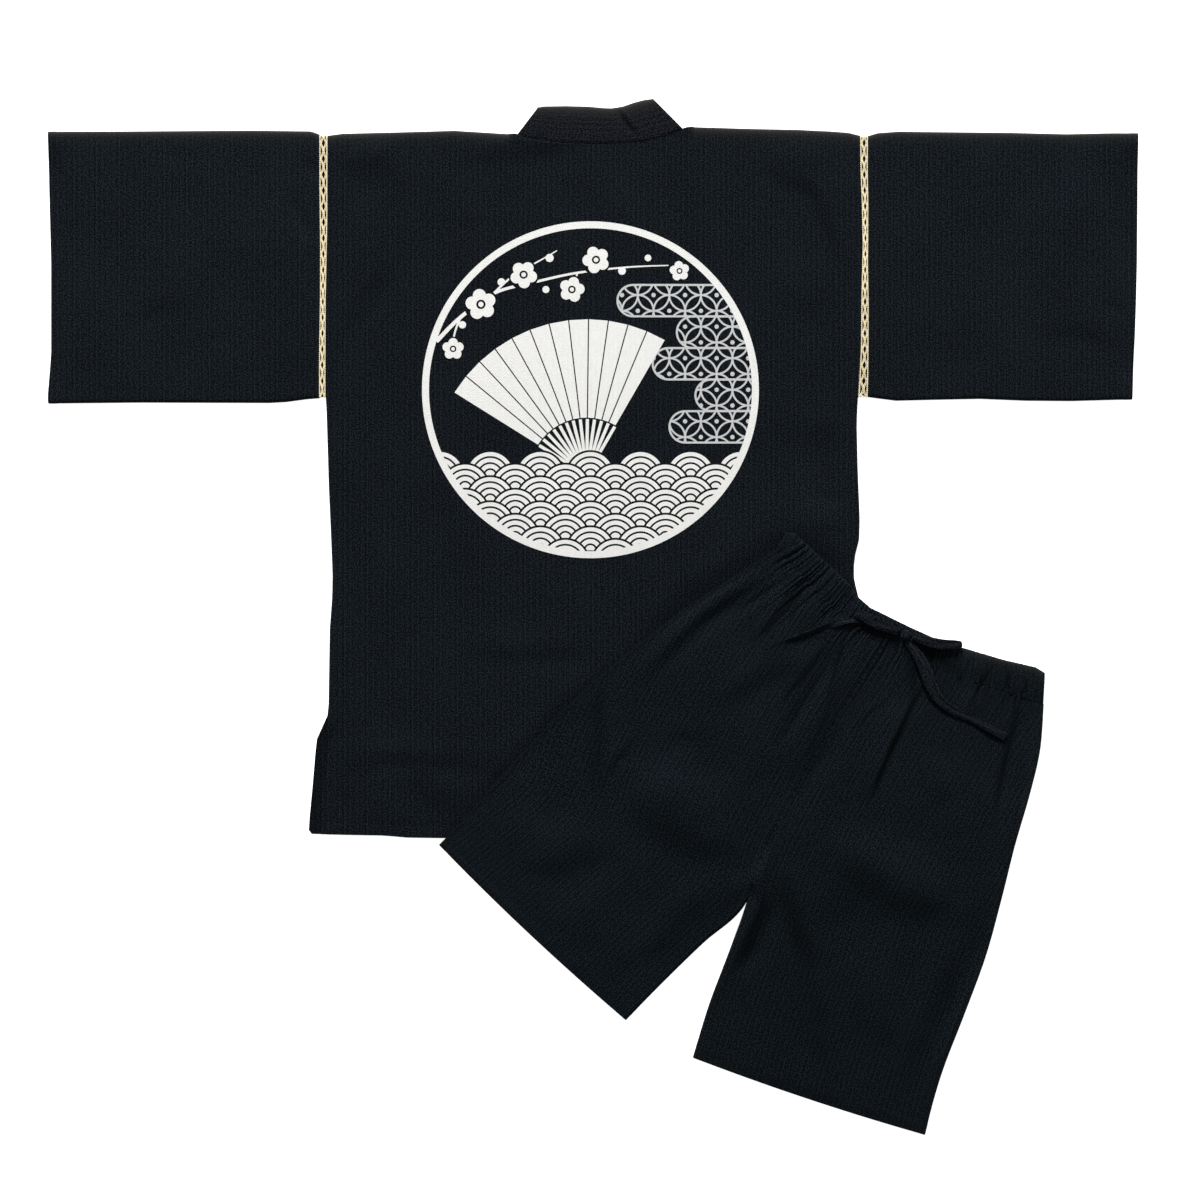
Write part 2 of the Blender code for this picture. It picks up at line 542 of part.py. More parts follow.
def make_sleeve(name, sign, shape):
    # folded along the top, sewn along the bottom; a row for each place from the lace to the cuff
    grid = []
    for share in SLEEVE_ROWS:
        out = mix(SLEEVE_START, SLEEVE_END, share)

        def x_at(y):
            return mix(shape.inner, sign * read(shape.cuff, y), share)

        def upper(spot, along):
            inside = smooth(SLEEVE_FADE * along) * smooth(SLEEVE_FADE * (1 - along))
            z = mix(BACK_Z, CUFF_Z, smooth((share - 1 + CUFF_REACH) / CUFF_REACH) * inside)
            return z + relief(SLEEVE_CREASES, spot.x, spot.y) * inside

        def lower(_spot, _along):
            return FRONT_Z

        low_y, high_y = read(shape.seam, out), read(shape.fold, out)
        inner = Vector((x_at(low_y), low_y, 0))
        outer = Vector((x_at(high_y), high_y, 0))
        line = folded_section(inner, outer, 0.0, 1.0, upper, lower, SLEEVE_ACROSS_BACK, SLEEVE_ACROSS_FRONT)
        grid.append([(Vector((x_at(point.y), point.y, point.z)), normal) for point, normal in line])
    wall(name, grid if sign < 0 else grid[::-1], CLOTH, INDIGO, flat_foot=True)


def lace_strip(name, edge, inner, sign, upper):
    # a strip from the armhole's foot to the shoulder fold, with a row of diamond gaps through it;
    # it fills the space between the body's edge and the sleeve's inner one
    height = BACK_Z if upper else LACE / 2
    sense = 1 if upper else -1
    mesh = bmesh.new()
    top_y = read(SHOULDERS, edge(ARMHOLE)) - LACE_TOP

    def spot(across, y, z, face, lean=0.0, deep=1.0):
        middle = (edge(y) + inner) / 2
        half = abs(inner - edge(y)) / 2 - SEAM
        normal = Vector((0, sense * math.sin(lean) / ROUND, math.cos(lean) / deep)).normalized()
        point = Vector((middle + across * half, y, z)) + normal * (face * LACE / 2)
        return mesh.verts.new(point * MM)

    def ring(y, z, lean=0.0, deep=1.0):
        return [[spot(a, y, z, face, lean, deep) for a in (-1, 0, 1)] for face in (1, -1)]

    def both(corners):
        mesh.faces.new(corners[0])
        mesh.faces.new(corners[1][::-1])

    def rails(low, high):
        for i in (0, 2):
            mesh.faces.new([low[0][i], high[0][i], high[1][i], low[1][i]])

    first = ring(LACE_END, height)
    mesh.faces.new([first[0][0], first[0][1], first[0][2], first[1][2], first[1][1], first[1][0]])
    start = top_y - LACE_FIRST - LACE_GAPS * LACE_PITCH
    last = ring(start, height)
    for i in (0, 1):
        both([[first[f][i], first[f][i + 1], last[f][i + 1], last[f][i]] for f in (0, 1)])
    rails(first, last)
    for gap in range(LACE_GAPS):
        middle = start + (gap + 0.5) * LACE_PITCH
        nxt = ring(start + (gap + 1) * LACE_PITCH, height)
        hole = [[spot(a, y, height, face) for a, y in (
            (0, middle - LACE_GAP_HEIGHT / 2), (LACE_GAP_SHARE, middle),
            (0, middle + LACE_GAP_HEIGHT / 2), (-LACE_GAP_SHARE, middle))] for face in (1, -1)]
        for rail, corner in ((0, 3), (2, 1)):
            both([[last[f][rail], last[f][1], hole[f][0]] for f in (0, 1)])
            both([[last[f][rail], hole[f][0], hole[f][corner]] for f in (0, 1)])
            both([[last[f][rail], hole[f][corner], nxt[f][rail]] for f in (0, 1)])
            both([[nxt[f][rail], hole[f][corner], hole[f][2]] for f in (0, 1)])
            both([[nxt[f][rail], hole[f][2], nxt[f][1]] for f in (0, 1)])
        for i in range(4):
            j = (i + 1) % 4
            mesh.faces.new([hole[0][i], hole[0][j], hole[1][j], hole[1][i]])
        rails(last, nxt)
        last = nxt
    seam_z = SEAM_Z + sense * SEAM / 2
    for step in range(LIP + 1):
        inset, drop, lean = lip(step, 1.0)
        deep = abs(height - seam_z)
        nxt = ring(top_y - inset, mix(height, seam_z, drop), lean, deep)
        for i in (0, 1):
            both([[last[f][i], last[f][i + 1], nxt[f][i + 1], nxt[f][i]] for f in (0, 1)])
        rails(last, nxt)
        last = nxt
    mesh.faces.new([last[0][0], last[0][1], last[0][2], last[1][2], last[1][1], last[1][0]])
    finish(name, mesh, CREAM, 0.75)


def left_edge(y):
    return read(BACK_LEFT, max(y, ARMHOLE))


def right_edge(y):
    return read(BACK_RIGHT, max(y, ARMHOLE))


def make_sleeves():
    make_sleeve("sleeve_left", -1, SLEEVE_LEFT)
    make_sleeve("sleeve_right", 1, SLEEVE_RIGHT)
    for side, edge, inner, sign in (("left", left_edge, SLEEVE_LEFT.inner, -1),
                                    ("right", right_edge, SLEEVE_RIGHT.inner, 1)):
        lace_strip("lace_" + side + "_back", edge, inner, sign, True)
        lace_strip("lace_" + side + "_front", edge, inner, sign, False)


def to_set(u, v):
    # from the trousers' frame to the set's
    cosine, sine = math.cos(TROUSERS_TURN), math.sin(TROUSERS_TURN)
    return Vector((TROUSERS_X + u * cosine - v * sine, TROUSERS_Y - u * sine - v * cosine, 0))


def to_trousers(x, y):
    cosine, sine = math.cos(TROUSERS_TURN), math.sin(TROUSERS_TURN)
    east, south = x - TROUSERS_X, TROUSERS_Y - y
    return east * cosine + south * sine, south * cosine - east * sine


def rest(x, y):
    # height of what the trousers lie on: the jacket, or the surface beyond it
    beyond = math.hypot(max(x - LEDGE_X, 0.0), max(LEDGE_Y - y, 0.0))
    return TROUSERS_REST * (1 - smooth(beyond / DRAPE))


def make_leg(name, table, sign):
    # folded at the outer edge; closed along the inseam below the crotch, and sewn to the other leg above it
    grid = []
    for share in LEG_ROWS:
        outer_u, outer_v, inner_u, inner_v, bow = spline(table, share)
        closed = smooth((share * (len(table) - 1) - CROTCH_ROW + CROTCH_START) / (1 - CROTCH_START))
        inner = to_set(inner_u + sign * SEAM / 2, inner_v)
        outer = to_set(outer_u, outer_v)

        def upper(spot, along):
            inside = smooth(LEG_FOLD_FADE * along) * smooth(LEG_FOLD_FADE * (1 - along))
            hem = smooth((share - 1 + HEM_REACH) / HEM_REACH) * inside
            loft = mix(mix(WAIST_LOFT, LEG_LOFT, smooth(share / WAIST_REACH)), HEM_LOFT, hem)
            wave = math.sin(2 * math.pi * LEG_GATHERS * along)
            wave *= smooth(LEG_GATHER_FADE * along) * smooth(LEG_GATHER_FADE * (1 - along))
            gather = LEG_GATHER_DEPTH * wave * (1 - smooth(share / LEG_GATHER_REACH))
            folds = min(max(relief(LEG_CREASES, *to_trousers(spot.x, spot.y)), DEEPEST), HIGHEST)
            return rest(spot.x, spot.y) + loft + gather + folds * inside * (1 - hem)

        def lower(spot, _along):
            return rest(spot.x, spot.y) + CLOTH / 2

        grid.append(folded_section(inner, outer, bow, closed, upper, lower, 2 * LEG_GATHERS, LEG_ACROSS_BACK))
    wall(name, grid if sign < 0 else grid[::-1], CLOTH, INDIGO, flat_foot=True)


def waist_seam(share):
    # lower edge of the waistband, from the left fold of the trousers to the right one, at the legs' top sections
    left, right = LEG_LEFT[0], LEG_RIGHT[0]
    width = right.outer_u - left.outer_u
    u = left.outer_u + share * width
    if u < left.inner_u:
        part = (u - left.outer_u) / (left.inner_u - left.outer_u)
        return u, mix(left.outer_v, left.inner_v, part) + 4 * left.bow * part * (1 - part)
    part = (u - right.inner_u) / (right.outer_u - right.inner_u)
    return u, mix(right.inner_v, right.outer_v, part) + 4 * right.bow * part * (1 - part)


def make_waistband():
    # a loop of cloth round the waist, flattened: the gathered front, a fold, the plain back, a fold
    columns = 2 * WAIST_GATHERS
    edge = WAIST_WALL / 2 + ROUND
    grid = []
    for r in range(BAND_ROWS + 1):
        up = r / BAND_ROWS
        left_low, right_low = Vector(waist_seam(0)), Vector(waist_seam(1))
        width = (right_low - left_low).x
        line = []

        def spot(distance, height):
            share = distance / width
            u, seam_v = waist_seam(min(max(share, 0.0), 1.0))
            top_u = mix(WAIST_TOP[0].at, WAIST_TOP[-1].at, share)
            low_v, high_v = seam_v - SEAM, read(WAIST_TOP, top_u)
            place = to_set(mix(u, top_u, up), mix(low_v, high_v, up))
            base = rest(place.x, place.y)
            return Vector((place.x, place.y, base + height))

        under = WAIST_WALL / 2
        over = WAIST_LOFT + BAND_RISE
        half = (over - under) / 2
        for c in range(columns + 1):
            distance = mix(edge, width - edge, c / columns)
            share = c / columns
            fade = smooth(BAND_FADE * share) * smooth(BAND_FADE * (1 - share))
            wave = GATHER_DEPTH * fade * (1 if c % 2 else -1) * mix(1.0, BAND_TOP_SHARE, up)
            line.append((spot(distance, over + wave), None))
        for step in range(1, 2 * LIP):
            angle = 0.5 * math.pi * (1 - step / LIP)
            distance = width - WAIST_WALL / 2 - ROUND * (1 - math.cos(angle))
            line.append((spot(distance, under + half + half * math.sin(angle)), None))
        for c in range(BAND_BACK + 1):
            line.append((spot(mix(width - edge, edge, c / BAND_BACK), under), None))
        for step in range(1, 2 * LIP):
            angle = 0.5 * math.pi * (1 - step / LIP)
            distance = WAIST_WALL / 2 + ROUND * (1 - math.cos(angle))
            line.append((spot(distance, under + half - half * math.sin(angle)), None))
        grid.append(line)
    wall("waistband", grid, WAIST_WALL, INDIGO, loop=True, flat_foot=True)


def ribbon(name, route, width, thickness, steps, place, doubled=False):
    # a flat strip along a route; doubled sends it back over itself as a loop
    rows = []
    for i in range(steps + 1):
        share = i / steps
        here, ahead = spline(route, share), spline(route, min(share + HEADING_STEP, 1.0))
        before = spline(route, max(share - HEADING_STEP, 0.0))
        along = Vector((ahead[0] - before[0], ahead[1] - before[1], 0)).normalized()
        side = Vector((-along.y, along.x, 0)) * (width / 2)
        line = []
        for across in (-1, 1):
            x, y = here[0] + side.x * across, here[1] + side.y * across
            line.append(place(x, y, here[2] + thickness / 2))
        rows.append(line)
    if doubled:
        gap = thickness + 2 * SEAM + LOOP_GAP
        raised = [[point + Vector((0, 0, gap)) for point in line] for line in rows]
        outward = [(rows[-1][i] - rows[-2][i]).normalized() for i in range(2)]
        turn = []
        for angle in LOOP_TURN:
            reach, rise = math.cos(math.radians(angle)), math.sin(math.radians(angle))
            turn.append([rows[-1][i] + outward[i] * (LOOP_BULGE * reach) + Vector((0, 0, gap / 2 * (1 + rise)))
                         for i in range(2)])
        rows = rows + turn + raised[::-1]
    grid = [[(point, None) for point in line] for line in rows]
    wall(name, grid, thickness, INDIGO)


def on_trousers(u, v, height):
    place = to_set(u, v)
    return Vector((place.x, place.y, rest(place.x, place.y) + height))


def on_jacket(x, y, height):
    return Vector((x, y, height))


def make_ties():
    middle = on_trousers(KNOT.x, KNOT.y, TIE_TOP + KNOT_SIZE[2] / 2)
    knot = bmesh.new()
    bmesh.ops.create_icosphere(knot, subdivisions=2, radius=0.5)
    turn = -TROUSERS_TURN
    for vert in knot.verts:
        x, y = vert.co.x * KNOT_SIZE[0], vert.co.y * KNOT_SIZE[1]
        vert.co = (Vector((x * math.cos(turn) - y * math.sin(turn), x * math.sin(turn) + y * math.cos(turn),
                           vert.co.z * KNOT_SIZE[2])) + middle) * MM
    finish("tie_knot", knot, INDIGO)
    ribbon("tie_tail_left", TIE_TAIL_LEFT, TIE_WIDTH, CLOTH, TAIL_STEPS_LEFT, on_trousers)
    ribbon("tie_tail_right", TIE_TAIL_RIGHT, TIE_WIDTH, CLOTH, TAIL_STEPS_RIGHT, on_trousers)
    ribbon("tie_loop_left", TIE_LOOP_LEFT, TIE_WIDTH, CLOTH, LOOP_STEPS, on_trousers, doubled=True)
    ribbon("tie_loop_right", TIE_LOOP_RIGHT, TIE_WIDTH, CLOTH, LOOP_STEPS, on_trousers, doubled=True)
    for name, route in HIMO.items():
        ribbon(name, route, HIMO_WIDTH, STRIP, HIMO_STEPS, on_jacket)


make_collar(make_body())
make_sleeves()
make_leg("leg_left", LEG_LEFT, -1)
make_leg("leg_right", LEG_RIGHT, 1)
make_waistband()
make_ties()
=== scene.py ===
# The jinbei set as it looks: black ribbed cotton, cream ladder lace, a printed roundel, gathers and ties.
# Sizes are in millimetres on the set's own axes and become metres where a mesh is made.
import math

import bpy
import numpy as np
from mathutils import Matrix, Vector
from mathutils.geometry import delaunay_2d_cdt


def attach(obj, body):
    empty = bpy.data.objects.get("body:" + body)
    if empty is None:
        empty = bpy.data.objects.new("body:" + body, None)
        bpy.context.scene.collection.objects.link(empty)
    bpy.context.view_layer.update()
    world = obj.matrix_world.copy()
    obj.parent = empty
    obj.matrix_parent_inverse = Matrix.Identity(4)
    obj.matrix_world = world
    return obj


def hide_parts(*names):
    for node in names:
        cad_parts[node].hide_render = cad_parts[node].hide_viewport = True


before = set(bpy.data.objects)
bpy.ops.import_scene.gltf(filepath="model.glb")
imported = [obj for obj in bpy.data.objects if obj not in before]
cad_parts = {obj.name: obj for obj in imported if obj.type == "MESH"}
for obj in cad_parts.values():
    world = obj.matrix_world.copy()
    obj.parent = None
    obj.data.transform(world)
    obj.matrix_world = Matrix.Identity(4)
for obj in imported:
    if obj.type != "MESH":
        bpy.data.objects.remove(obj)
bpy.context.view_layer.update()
mm = 0.001


# ---- camera, floor and light

studio = {
    "lookAt": (7.0, 23.2), "frameWidth": 1296.0, "lens": 85.0, "sensor": 36.0, "farthest": 20,
    "floorSize": 6000.0, "floorDrop": 0.05, "floorColour": (0.93, 0.93, 0.92), "floorGlow": 1.0, "sky": 0.18,
    "lamps": {
        "key": {"place": (-250, 5000, 2100), "size": (1500, 900), "power": 520.0},
        "left": {"place": (-3200, 900, 1500), "size": (1200, 1200), "power": 25.0},
        "right": {"place": (3200, 900, 1500), "size": (1200, 1200), "power": 25.0},
    },
}


def newItem(name, data):
    item = bpy.data.objects.new(name, data)
    bpy.context.scene.collection.objects.link(item)
    return item


def makeStudio():
    scene = bpy.context.scene
    data = bpy.data.cameras.new("camera")
    data.lens, data.sensor_width, data.clip_end = studio["lens"], studio["sensor"], studio["farthest"]
    distance = studio["lens"] / studio["sensor"] * studio["frameWidth"]
    scene.camera = newItem("camera", data)
    scene.camera.location = (studio["lookAt"][0] * mm, studio["lookAt"][1] * mm, distance * mm)
    scene.view_settings.view_transform = "Standard"
    scene.world = bpy.data.worlds.new("softSky")
    scene.world.use_nodes = True
    sky = scene.world.node_tree.nodes["Background"]
    sky.inputs["Strength"].default_value = studio["sky"]
    sky.inputs["Color"].default_value = (1, 1, 1, 1)
    for name, lamp in studio["lamps"].items():
        light = bpy.data.lights.new(name, "AREA")
        light.shape = "RECTANGLE"
        light.size, light.size_y = lamp["size"][0] * mm, lamp["size"][1] * mm
        light.energy = lamp["power"]
        holder = newItem(name, light)
        holder.location = Vector(lamp["place"]) * mm
        holder.rotation_euler = (-holder.location).to_track_quat("-Z", "Y").to_euler()
    half, below = studio["floorSize"] / 2 * mm, -studio["floorDrop"] * mm
    corners = [(x, y, below) for x, y in ((-half, -half), (half, -half), (half, half), (-half, half))]
    paper = bpy.data.meshes.new("floor")
    paper.from_pydata(corners, [], [(0, 1, 2, 3)])
    paper.materials.append(floorPaper())
    newItem("floor", paper)


# ---- shader and geometry maths

class Wire:
    # one output socket; sums and products of these add Math nodes
    def __init__(self, tree, socket):
        self.tree, self.socket = tree, socket

    def output(self, place):
        # another output of the same node
        return Wire(self.tree, self.socket.node.outputs[place])

    def node(self, kind, settings=None, feeds=None, out=0):
        made = self.tree.nodes.new(kind)
        for name, value in (settings or {}).items():
            setattr(made, name, value)
        for name, value in (feeds or {}).items():
            plug(self.tree, made.inputs[name], value)
        return Wire(self.tree, made.outputs[out])

    def math(self, operation, *values):
        made = self.tree.nodes.new("ShaderNodeMath")
        made.operation = operation
        for place, value in enumerate(values):
            plug(self.tree, made.inputs[place], value)
        return Wire(self.tree, made.outputs[0])

    def __add__(self, other):
        return self.math("ADD", self, other)

    def __radd__(self, other):
        return self.math("ADD", other, self)

    def __sub__(self, other):
        return self.math("SUBTRACT", self, other)

    def __rsub__(self, other):
        return self.math("SUBTRACT", other, self)

    def __mul__(self, other):
        return self.math("MULTIPLY", self, other)

    def __rmul__(self, other):
        return self.math("MULTIPLY", other, self)

    def __truediv__(self, other):
        return self.math("DIVIDE", self, other)

    def __pow__(self, other):
        return self.math("POWER", self, other)

    def clamp(self, low, high):
        return self.math("MAXIMUM", low, self.math("MINIMUM", high, self))


def plug(tree, socket, value):
    if isinstance(value, Wire):
        tree.links.new(value.socket, socket)
    else:
        socket.default_value = value


def newFinish(name, plain):
    # a material whose shader has the uniform values in plain, and a wire into its tree
    material = bpy.data.materials.new(name)
    material.use_nodes = True
    shader = material.node_tree.nodes["Principled BSDF"]
    for socket, value in plain.items():
        shader.inputs[socket].default_value = value
    return material, Wire(material.node_tree, None), shader


def surface(wire, shader, look, colour, roughness, height):
    # what changes over a surface: its colour, its roughness and its fine relief
    bump = wire.node("ShaderNodeBump", None, {"Strength": look["bump"], "Distance": look["bumpDepth"],
                                              "Height": height})
    for socket, value in (("Base Color", colour), ("Roughness", roughness), ("Normal", bump)):
        plug(wire.tree, shader.inputs[socket], value)


def blendColours(wire, share, low, high):
    ends = [colour if isinstance(colour, Wire) else (*colour, 1) for colour in (low, high)]
    return wire.node("ShaderNodeMix", {"data_type": "RGBA"}, {0: share, 6: ends[0], 7: ends[1]}, 2)


def speckle(wire, scale, detail):
    # noise over the piece's own coordinates
    spot = wire.node("ShaderNodeTexCoord", None, None, 3)
    return wire.node("ShaderNodeTexNoise", None, {"Vector": spot, "Scale": scale, "Detail": detail})


cottonLook = {
    # pitch, shift and depth of each set of ribs
    "ribs": [(6.08, 0.0, 0.42), (3.04, 1.1, 0.30), (4.86, 0.6, 0.24), (3.47, 2.0, 0.24)],
    "ribDepth": 0.27, "level": 0.345,
    # random cells in the weave: size across the ribs, size along them, strength
    "wander": (9, 30, 0.5), "puckers": [(1.35, 1.6, 3.5), (1.5, 11.0, 0.5), (0.70, 0.70, 1.5)],
    "cloud": (60, 80, 0.2),
    # rim: the pale colour of the painted highlight along edges that the light grazes
    "valley": (0.0004, 0.0007, 0.0012), "crest": (0.0121, 0.0172, 0.0227), "rim": (0.034, 0.032, 0.028),
    "bump": 0.3, "bumpDepth": 0.0005, "roughness": 0.92,
    "plain": {"Specular IOR Level": 0.06, "Sheen Weight": 0.03, "Sheen Tint": (0.6, 0.7, 0.85, 1)},
}
printLook = {
    "white": (0.83, 0.825, 0.80), "silver": (0.56, 0.565, 0.57), "darker": 0.86, "paler": 1.07,
    "palest": 0.95, "worn": (5, 9, 2.0), "level": 0.45, "weave": 0.35, "wear": 0.5, "bump": 0.35,
    "bumpDepth": 0.00025,
    "roughness": 0.62, "roughnessWear": 0.2, "plain": {"Specular IOR Level": 0.25},
}
laceLook = {
    "shade": (0.72, 0.60, 0.35), "light": (0.96, 0.87, 0.62), "fibre": 0.35, "fibreShare": 0.7,
    "cloudScale": 140.0, "cloudShare": 0.6, "level": 0.1, "bump": 0.4, "bumpDepth": 0.0002,
    "roughness": 0.82, "roughnessWear": 0.2, "plain": {"Specular IOR Level": 0.3},
}
threadLook = {
    "dark": (0.002, 0.0026, 0.003), "light": (0.010, 0.0125, 0.015), "scale": 2500.0,
    "plain": {"Roughness": 0.6, "Specular IOR Level": 0.2},
}


def weave(wire):
    # height of the ribbed weave from 0 to 1, over the cloth's own UV in metres: U across the ribs, V along
    uv = wire.node("ShaderNodeUVMap", {"uv_map": "grain"})
    across = wire.node("ShaderNodeSeparateXYZ", None, {0: uv})
    alongRib = across.output(1)

    def cells(sizeAcross, sizeAlong, detail=1.0):
        spot = wire.node("ShaderNodeCombineXYZ", None, {0: across / (sizeAcross * mm),
                                                        1: alongRib / (sizeAlong * mm)})
        return wire.node("ShaderNodeTexNoise", {"noise_dimensions": "2D"},
                         {"Vector": spot, "Scale": 1.0, "Detail": detail, "Roughness": 0.55})

    *size, wander = cottonLook["wander"]
    placed = across + (cells(*size) - 0.5) * (wander * mm)
    height = cottonLook["level"]
    for *size, strength in cottonLook["puckers"]:
        height = height + (cells(*size) - 0.5) * strength
    for pitch, shift, depth in cottonLook["ribs"]:
        turn = placed * (2 * math.pi / (pitch * mm)) + shift
        height = height + turn.math("COSINE", turn) * (depth * cottonLook["ribDepth"])
    return height.clamp(0.0, 1.0), cells


def cotton(name, tone):
    material, wire, shader = newFinish(name, cottonLook["plain"])
    height, cells = weave(wire)
    # painted light and shade: dusk darkens the cloth as painted shade, and below 0 lightens it as a painted
    # highlight
    dusk, rim = (wire.node("ShaderNodeAttribute", {"attribute_name": shade}, None, 2)
                 for shade in ("dusk", "rim"))
    *size, strength = cottonLook["cloud"]
    share = (height + (cells(*size) - 0.5) * strength).clamp(0.0, 1.0) * (1.0 - dusk)
    dark, light = (tuple(c * t for c, t in zip(cottonLook[end], tone)) for end in ("valley", "crest"))
    cloth = blendColours(wire, share, dark, light)
    # rim mixes in the pale colour of the painted edge highlight
    surface(wire, shader, cottonLook, blendColours(wire, rim, cloth, cottonLook["rim"]),
            1.0 - height * (1 - cottonLook["roughness"]), height)
    return material


def printInk(name, colour):
    material, wire, shader = newFinish(name, printLook["plain"])
    height, cells = weave(wire)
    worn = cells(*printLook["worn"]) - 0.5
    share = printLook["level"] + (height - 0.5) * printLook["weave"] + worn * printLook["wear"]
    lower = tuple(c * printLook["darker"] for c in colour)
    higher = tuple(min(c * printLook["paler"], printLook["palest"]) for c in colour)
    surface(wire, shader, printLook, blendColours(wire, share.clamp(0.0, 1.0), lower, higher),
            printLook["roughness"] + worn * printLook["roughnessWear"], height)
    return material


def laceThread():
    material, wire, shader = newFinish("lace thread", laceLook["plain"])
    fibre = speckle(wire, 1 / (laceLook["fibre"] * mm), 2.0)
    cloud = speckle(wire, laceLook["cloudScale"], 1.0)
    share = fibre * laceLook["fibreShare"] + cloud * laceLook["cloudShare"] - laceLook["level"]
    colour = blendColours(wire, share.clamp(0.0, 1.0), laceLook["shade"], laceLook["light"])
    surface(wire, shader, laceLook, colour,
            laceLook["roughness"] + (fibre - 0.5) * laceLook["roughnessWear"], fibre)
    return material


def sewingThread():
    material, wire, shader = newFinish("sewing thread", threadLook["plain"])
    fibre = speckle(wire, threadLook["scale"], 1.0)
    colour = blendColours(wire, fibre, threadLook["dark"], threadLook["light"])
    plug(wire.tree, shader.inputs["Base Color"], colour)
    return material


def floorPaper():
    colour = studio["floorColour"]
    plain = {"Roughness": 1.0, "Specular IOR Level": 0.0, "Emission Color": (*colour, 1),
             "Emission Strength": studio["floorGlow"]}
    material, wire, shader = newFinish("floor paper", plain)
    low = tuple(c * 0.99 for c in colour)
    plug(wire.tree, shader.inputs["Base Color"], blendColours(wire, speckle(wire, 3.0, 1.0), low, colour))
    return material


makeStudio()
cottonCloth = cotton("ribbed cotton", (1.0, 1.0, 1.0))
trouserCloth = cotton("ribbed cotton of the trousers", (0.82, 0.92, 0.92))
collarCloth = cotton("cotton of the collar", (1.28, 1.03, 1.03))
tieCloth = cotton("cotton of the ties", (1.14, 1.0, 1.03))
threadBlack = sewingThread()
print("studio and cloth ready")


# ---- cloth walls

wallMaking = {
    "cloth": 0.9, "round": 3.0, "lipSteps": 5, "seamGap": 0.3, "nap": 4.0, "rounds": 12, "foldFade": 2.6,
    "hemWall": 0.4, "hemEdge": 1.2, "groove": (0.35, 1.6),  # groove: depth and width of a stitched line
}
halfCloth = wallMaking["cloth"] / 2
lipMargin = wallMaking["round"] + halfCloth


def smooth(value):
    value = np.clip(value, 0.0, 1.0)
    return value * value * (3 - 2 * value)


def mix(a, b, share):
    return a + (b - a) * share


def along(table, at):
    # straight lines between a table's rows of (where, value)
    places, values = zip(*table)
    return np.interp(at, places, values)


def curve(rows, shares):
    # a smooth curve through rows of numbers, share 0 at the first row and 1 at the last
    rows = np.array(rows, float)
    span = np.asarray(shares, float) * (len(rows) - 1)
    low = np.clip(span.astype(int), 0, len(rows) - 2)
    t = (span - low)[..., None]
    before, after = rows[np.maximum(low - 1, 0)], rows[np.minimum(low + 2, len(rows) - 1)]
    start, end = rows[low], rows[low + 1]
    return 0.5 * (2 * start + (end - before) * t + (2 * before - 5 * start + 4 * end - after) * t ** 2
                  + (3 * start - before - 3 * end + after) * t ** 3)


def runAlong(points):
    # distance from the first point to each of them
    return np.concatenate([[0], np.cumsum(np.linalg.norm(np.diff(points, axis=0), axis=1))])


def relief(creases, x, y):
    # height that listed folds add: (points, width, height, lean); lean lifts one flank and sinks the
    # other, and each fold fades in and out along its length
    total = np.zeros(np.shape(x))
    for points, width, height, lean in creases:
        line = curve(points, np.linspace(0, 1, 4 * (len(points) - 1) + 1))
        nearest, signed = np.full(np.shape(x), 1e9), np.zeros(np.shape(x))
        passed, where = 0.0, np.zeros(np.shape(x))
        for (ax, ay), (bx, by) in zip(line, line[1:]):
            length = math.hypot(bx - ax, by - ay)
            share = np.clip(((x - ax) * (bx - ax) + (y - ay) * (by - ay)) / length ** 2, 0, 1)
            gap = np.hypot(x - mix(ax, bx, share), y - mix(ay, by, share))
            side = np.sign((bx - ax) * (y - ay) - (by - ay) * (x - ax))
            closer = gap < nearest
            nearest = np.where(closer, gap, nearest)
            signed = np.where(closer, side * gap, signed)
            where = np.where(closer, passed + share * length, where)
            passed += length
        fade = smooth(wallMaking["foldFade"] * np.minimum(where, passed - where) / passed)
        bell = np.exp(-(nearest / width) ** 2)
        total += fade * bell * (height + lean * signed / width)
    return total


def soften(height):
    # takes the kinks out where folds meet
    for _ in range(2 if height.ndim == 2 else 0):
        for axis in (0, 1):
            before, after = np.roll(height, 1, axis), np.roll(height, -1, axis)
            height = height / 2 + (before + after) / 4
    return height


def unevenness(x, y, size, seed):
    # a gentle random swell with waves about that size, mostly from -1 to 1
    chance = np.random.default_rng(seed)
    total = np.zeros(np.shape(x))
    for _ in range(7):
        angle, phase = chance.uniform(0, 2 * math.pi, 2)
        length = size * chance.uniform(0.7, 1.6)
        total += np.sin((x * math.cos(angle) + y * math.sin(angle)) * 2 * math.pi / length + phase)
    return total / 5


def swells(x, y, layers):
    # random swells of several sizes: (size, seed, strength)
    return sum(unevenness(x, y, size, seed) * strength for size, seed, strength in layers)


def gridNormals(points, wrap):
    if wrap:
        across = np.roll(points, -1, axis=1) - np.roll(points, 1, axis=1)
    else:
        across = np.empty_like(points)
        across[:, 1:-1] = points[:, 2:] - points[:, :-2]
        across[:, 0], across[:, -1] = points[:, 1] - points[:, 0], points[:, -1] - points[:, -2]
    upward = np.empty_like(points)
    upward[1:-1] = points[2:] - points[:-2]
    upward[0], upward[-1] = points[1] - points[0], points[-1] - points[-2]
    normal = np.cross(across, upward)
    return normal / np.maximum(np.linalg.norm(normal, axis=2, keepdims=True), 1e-9)


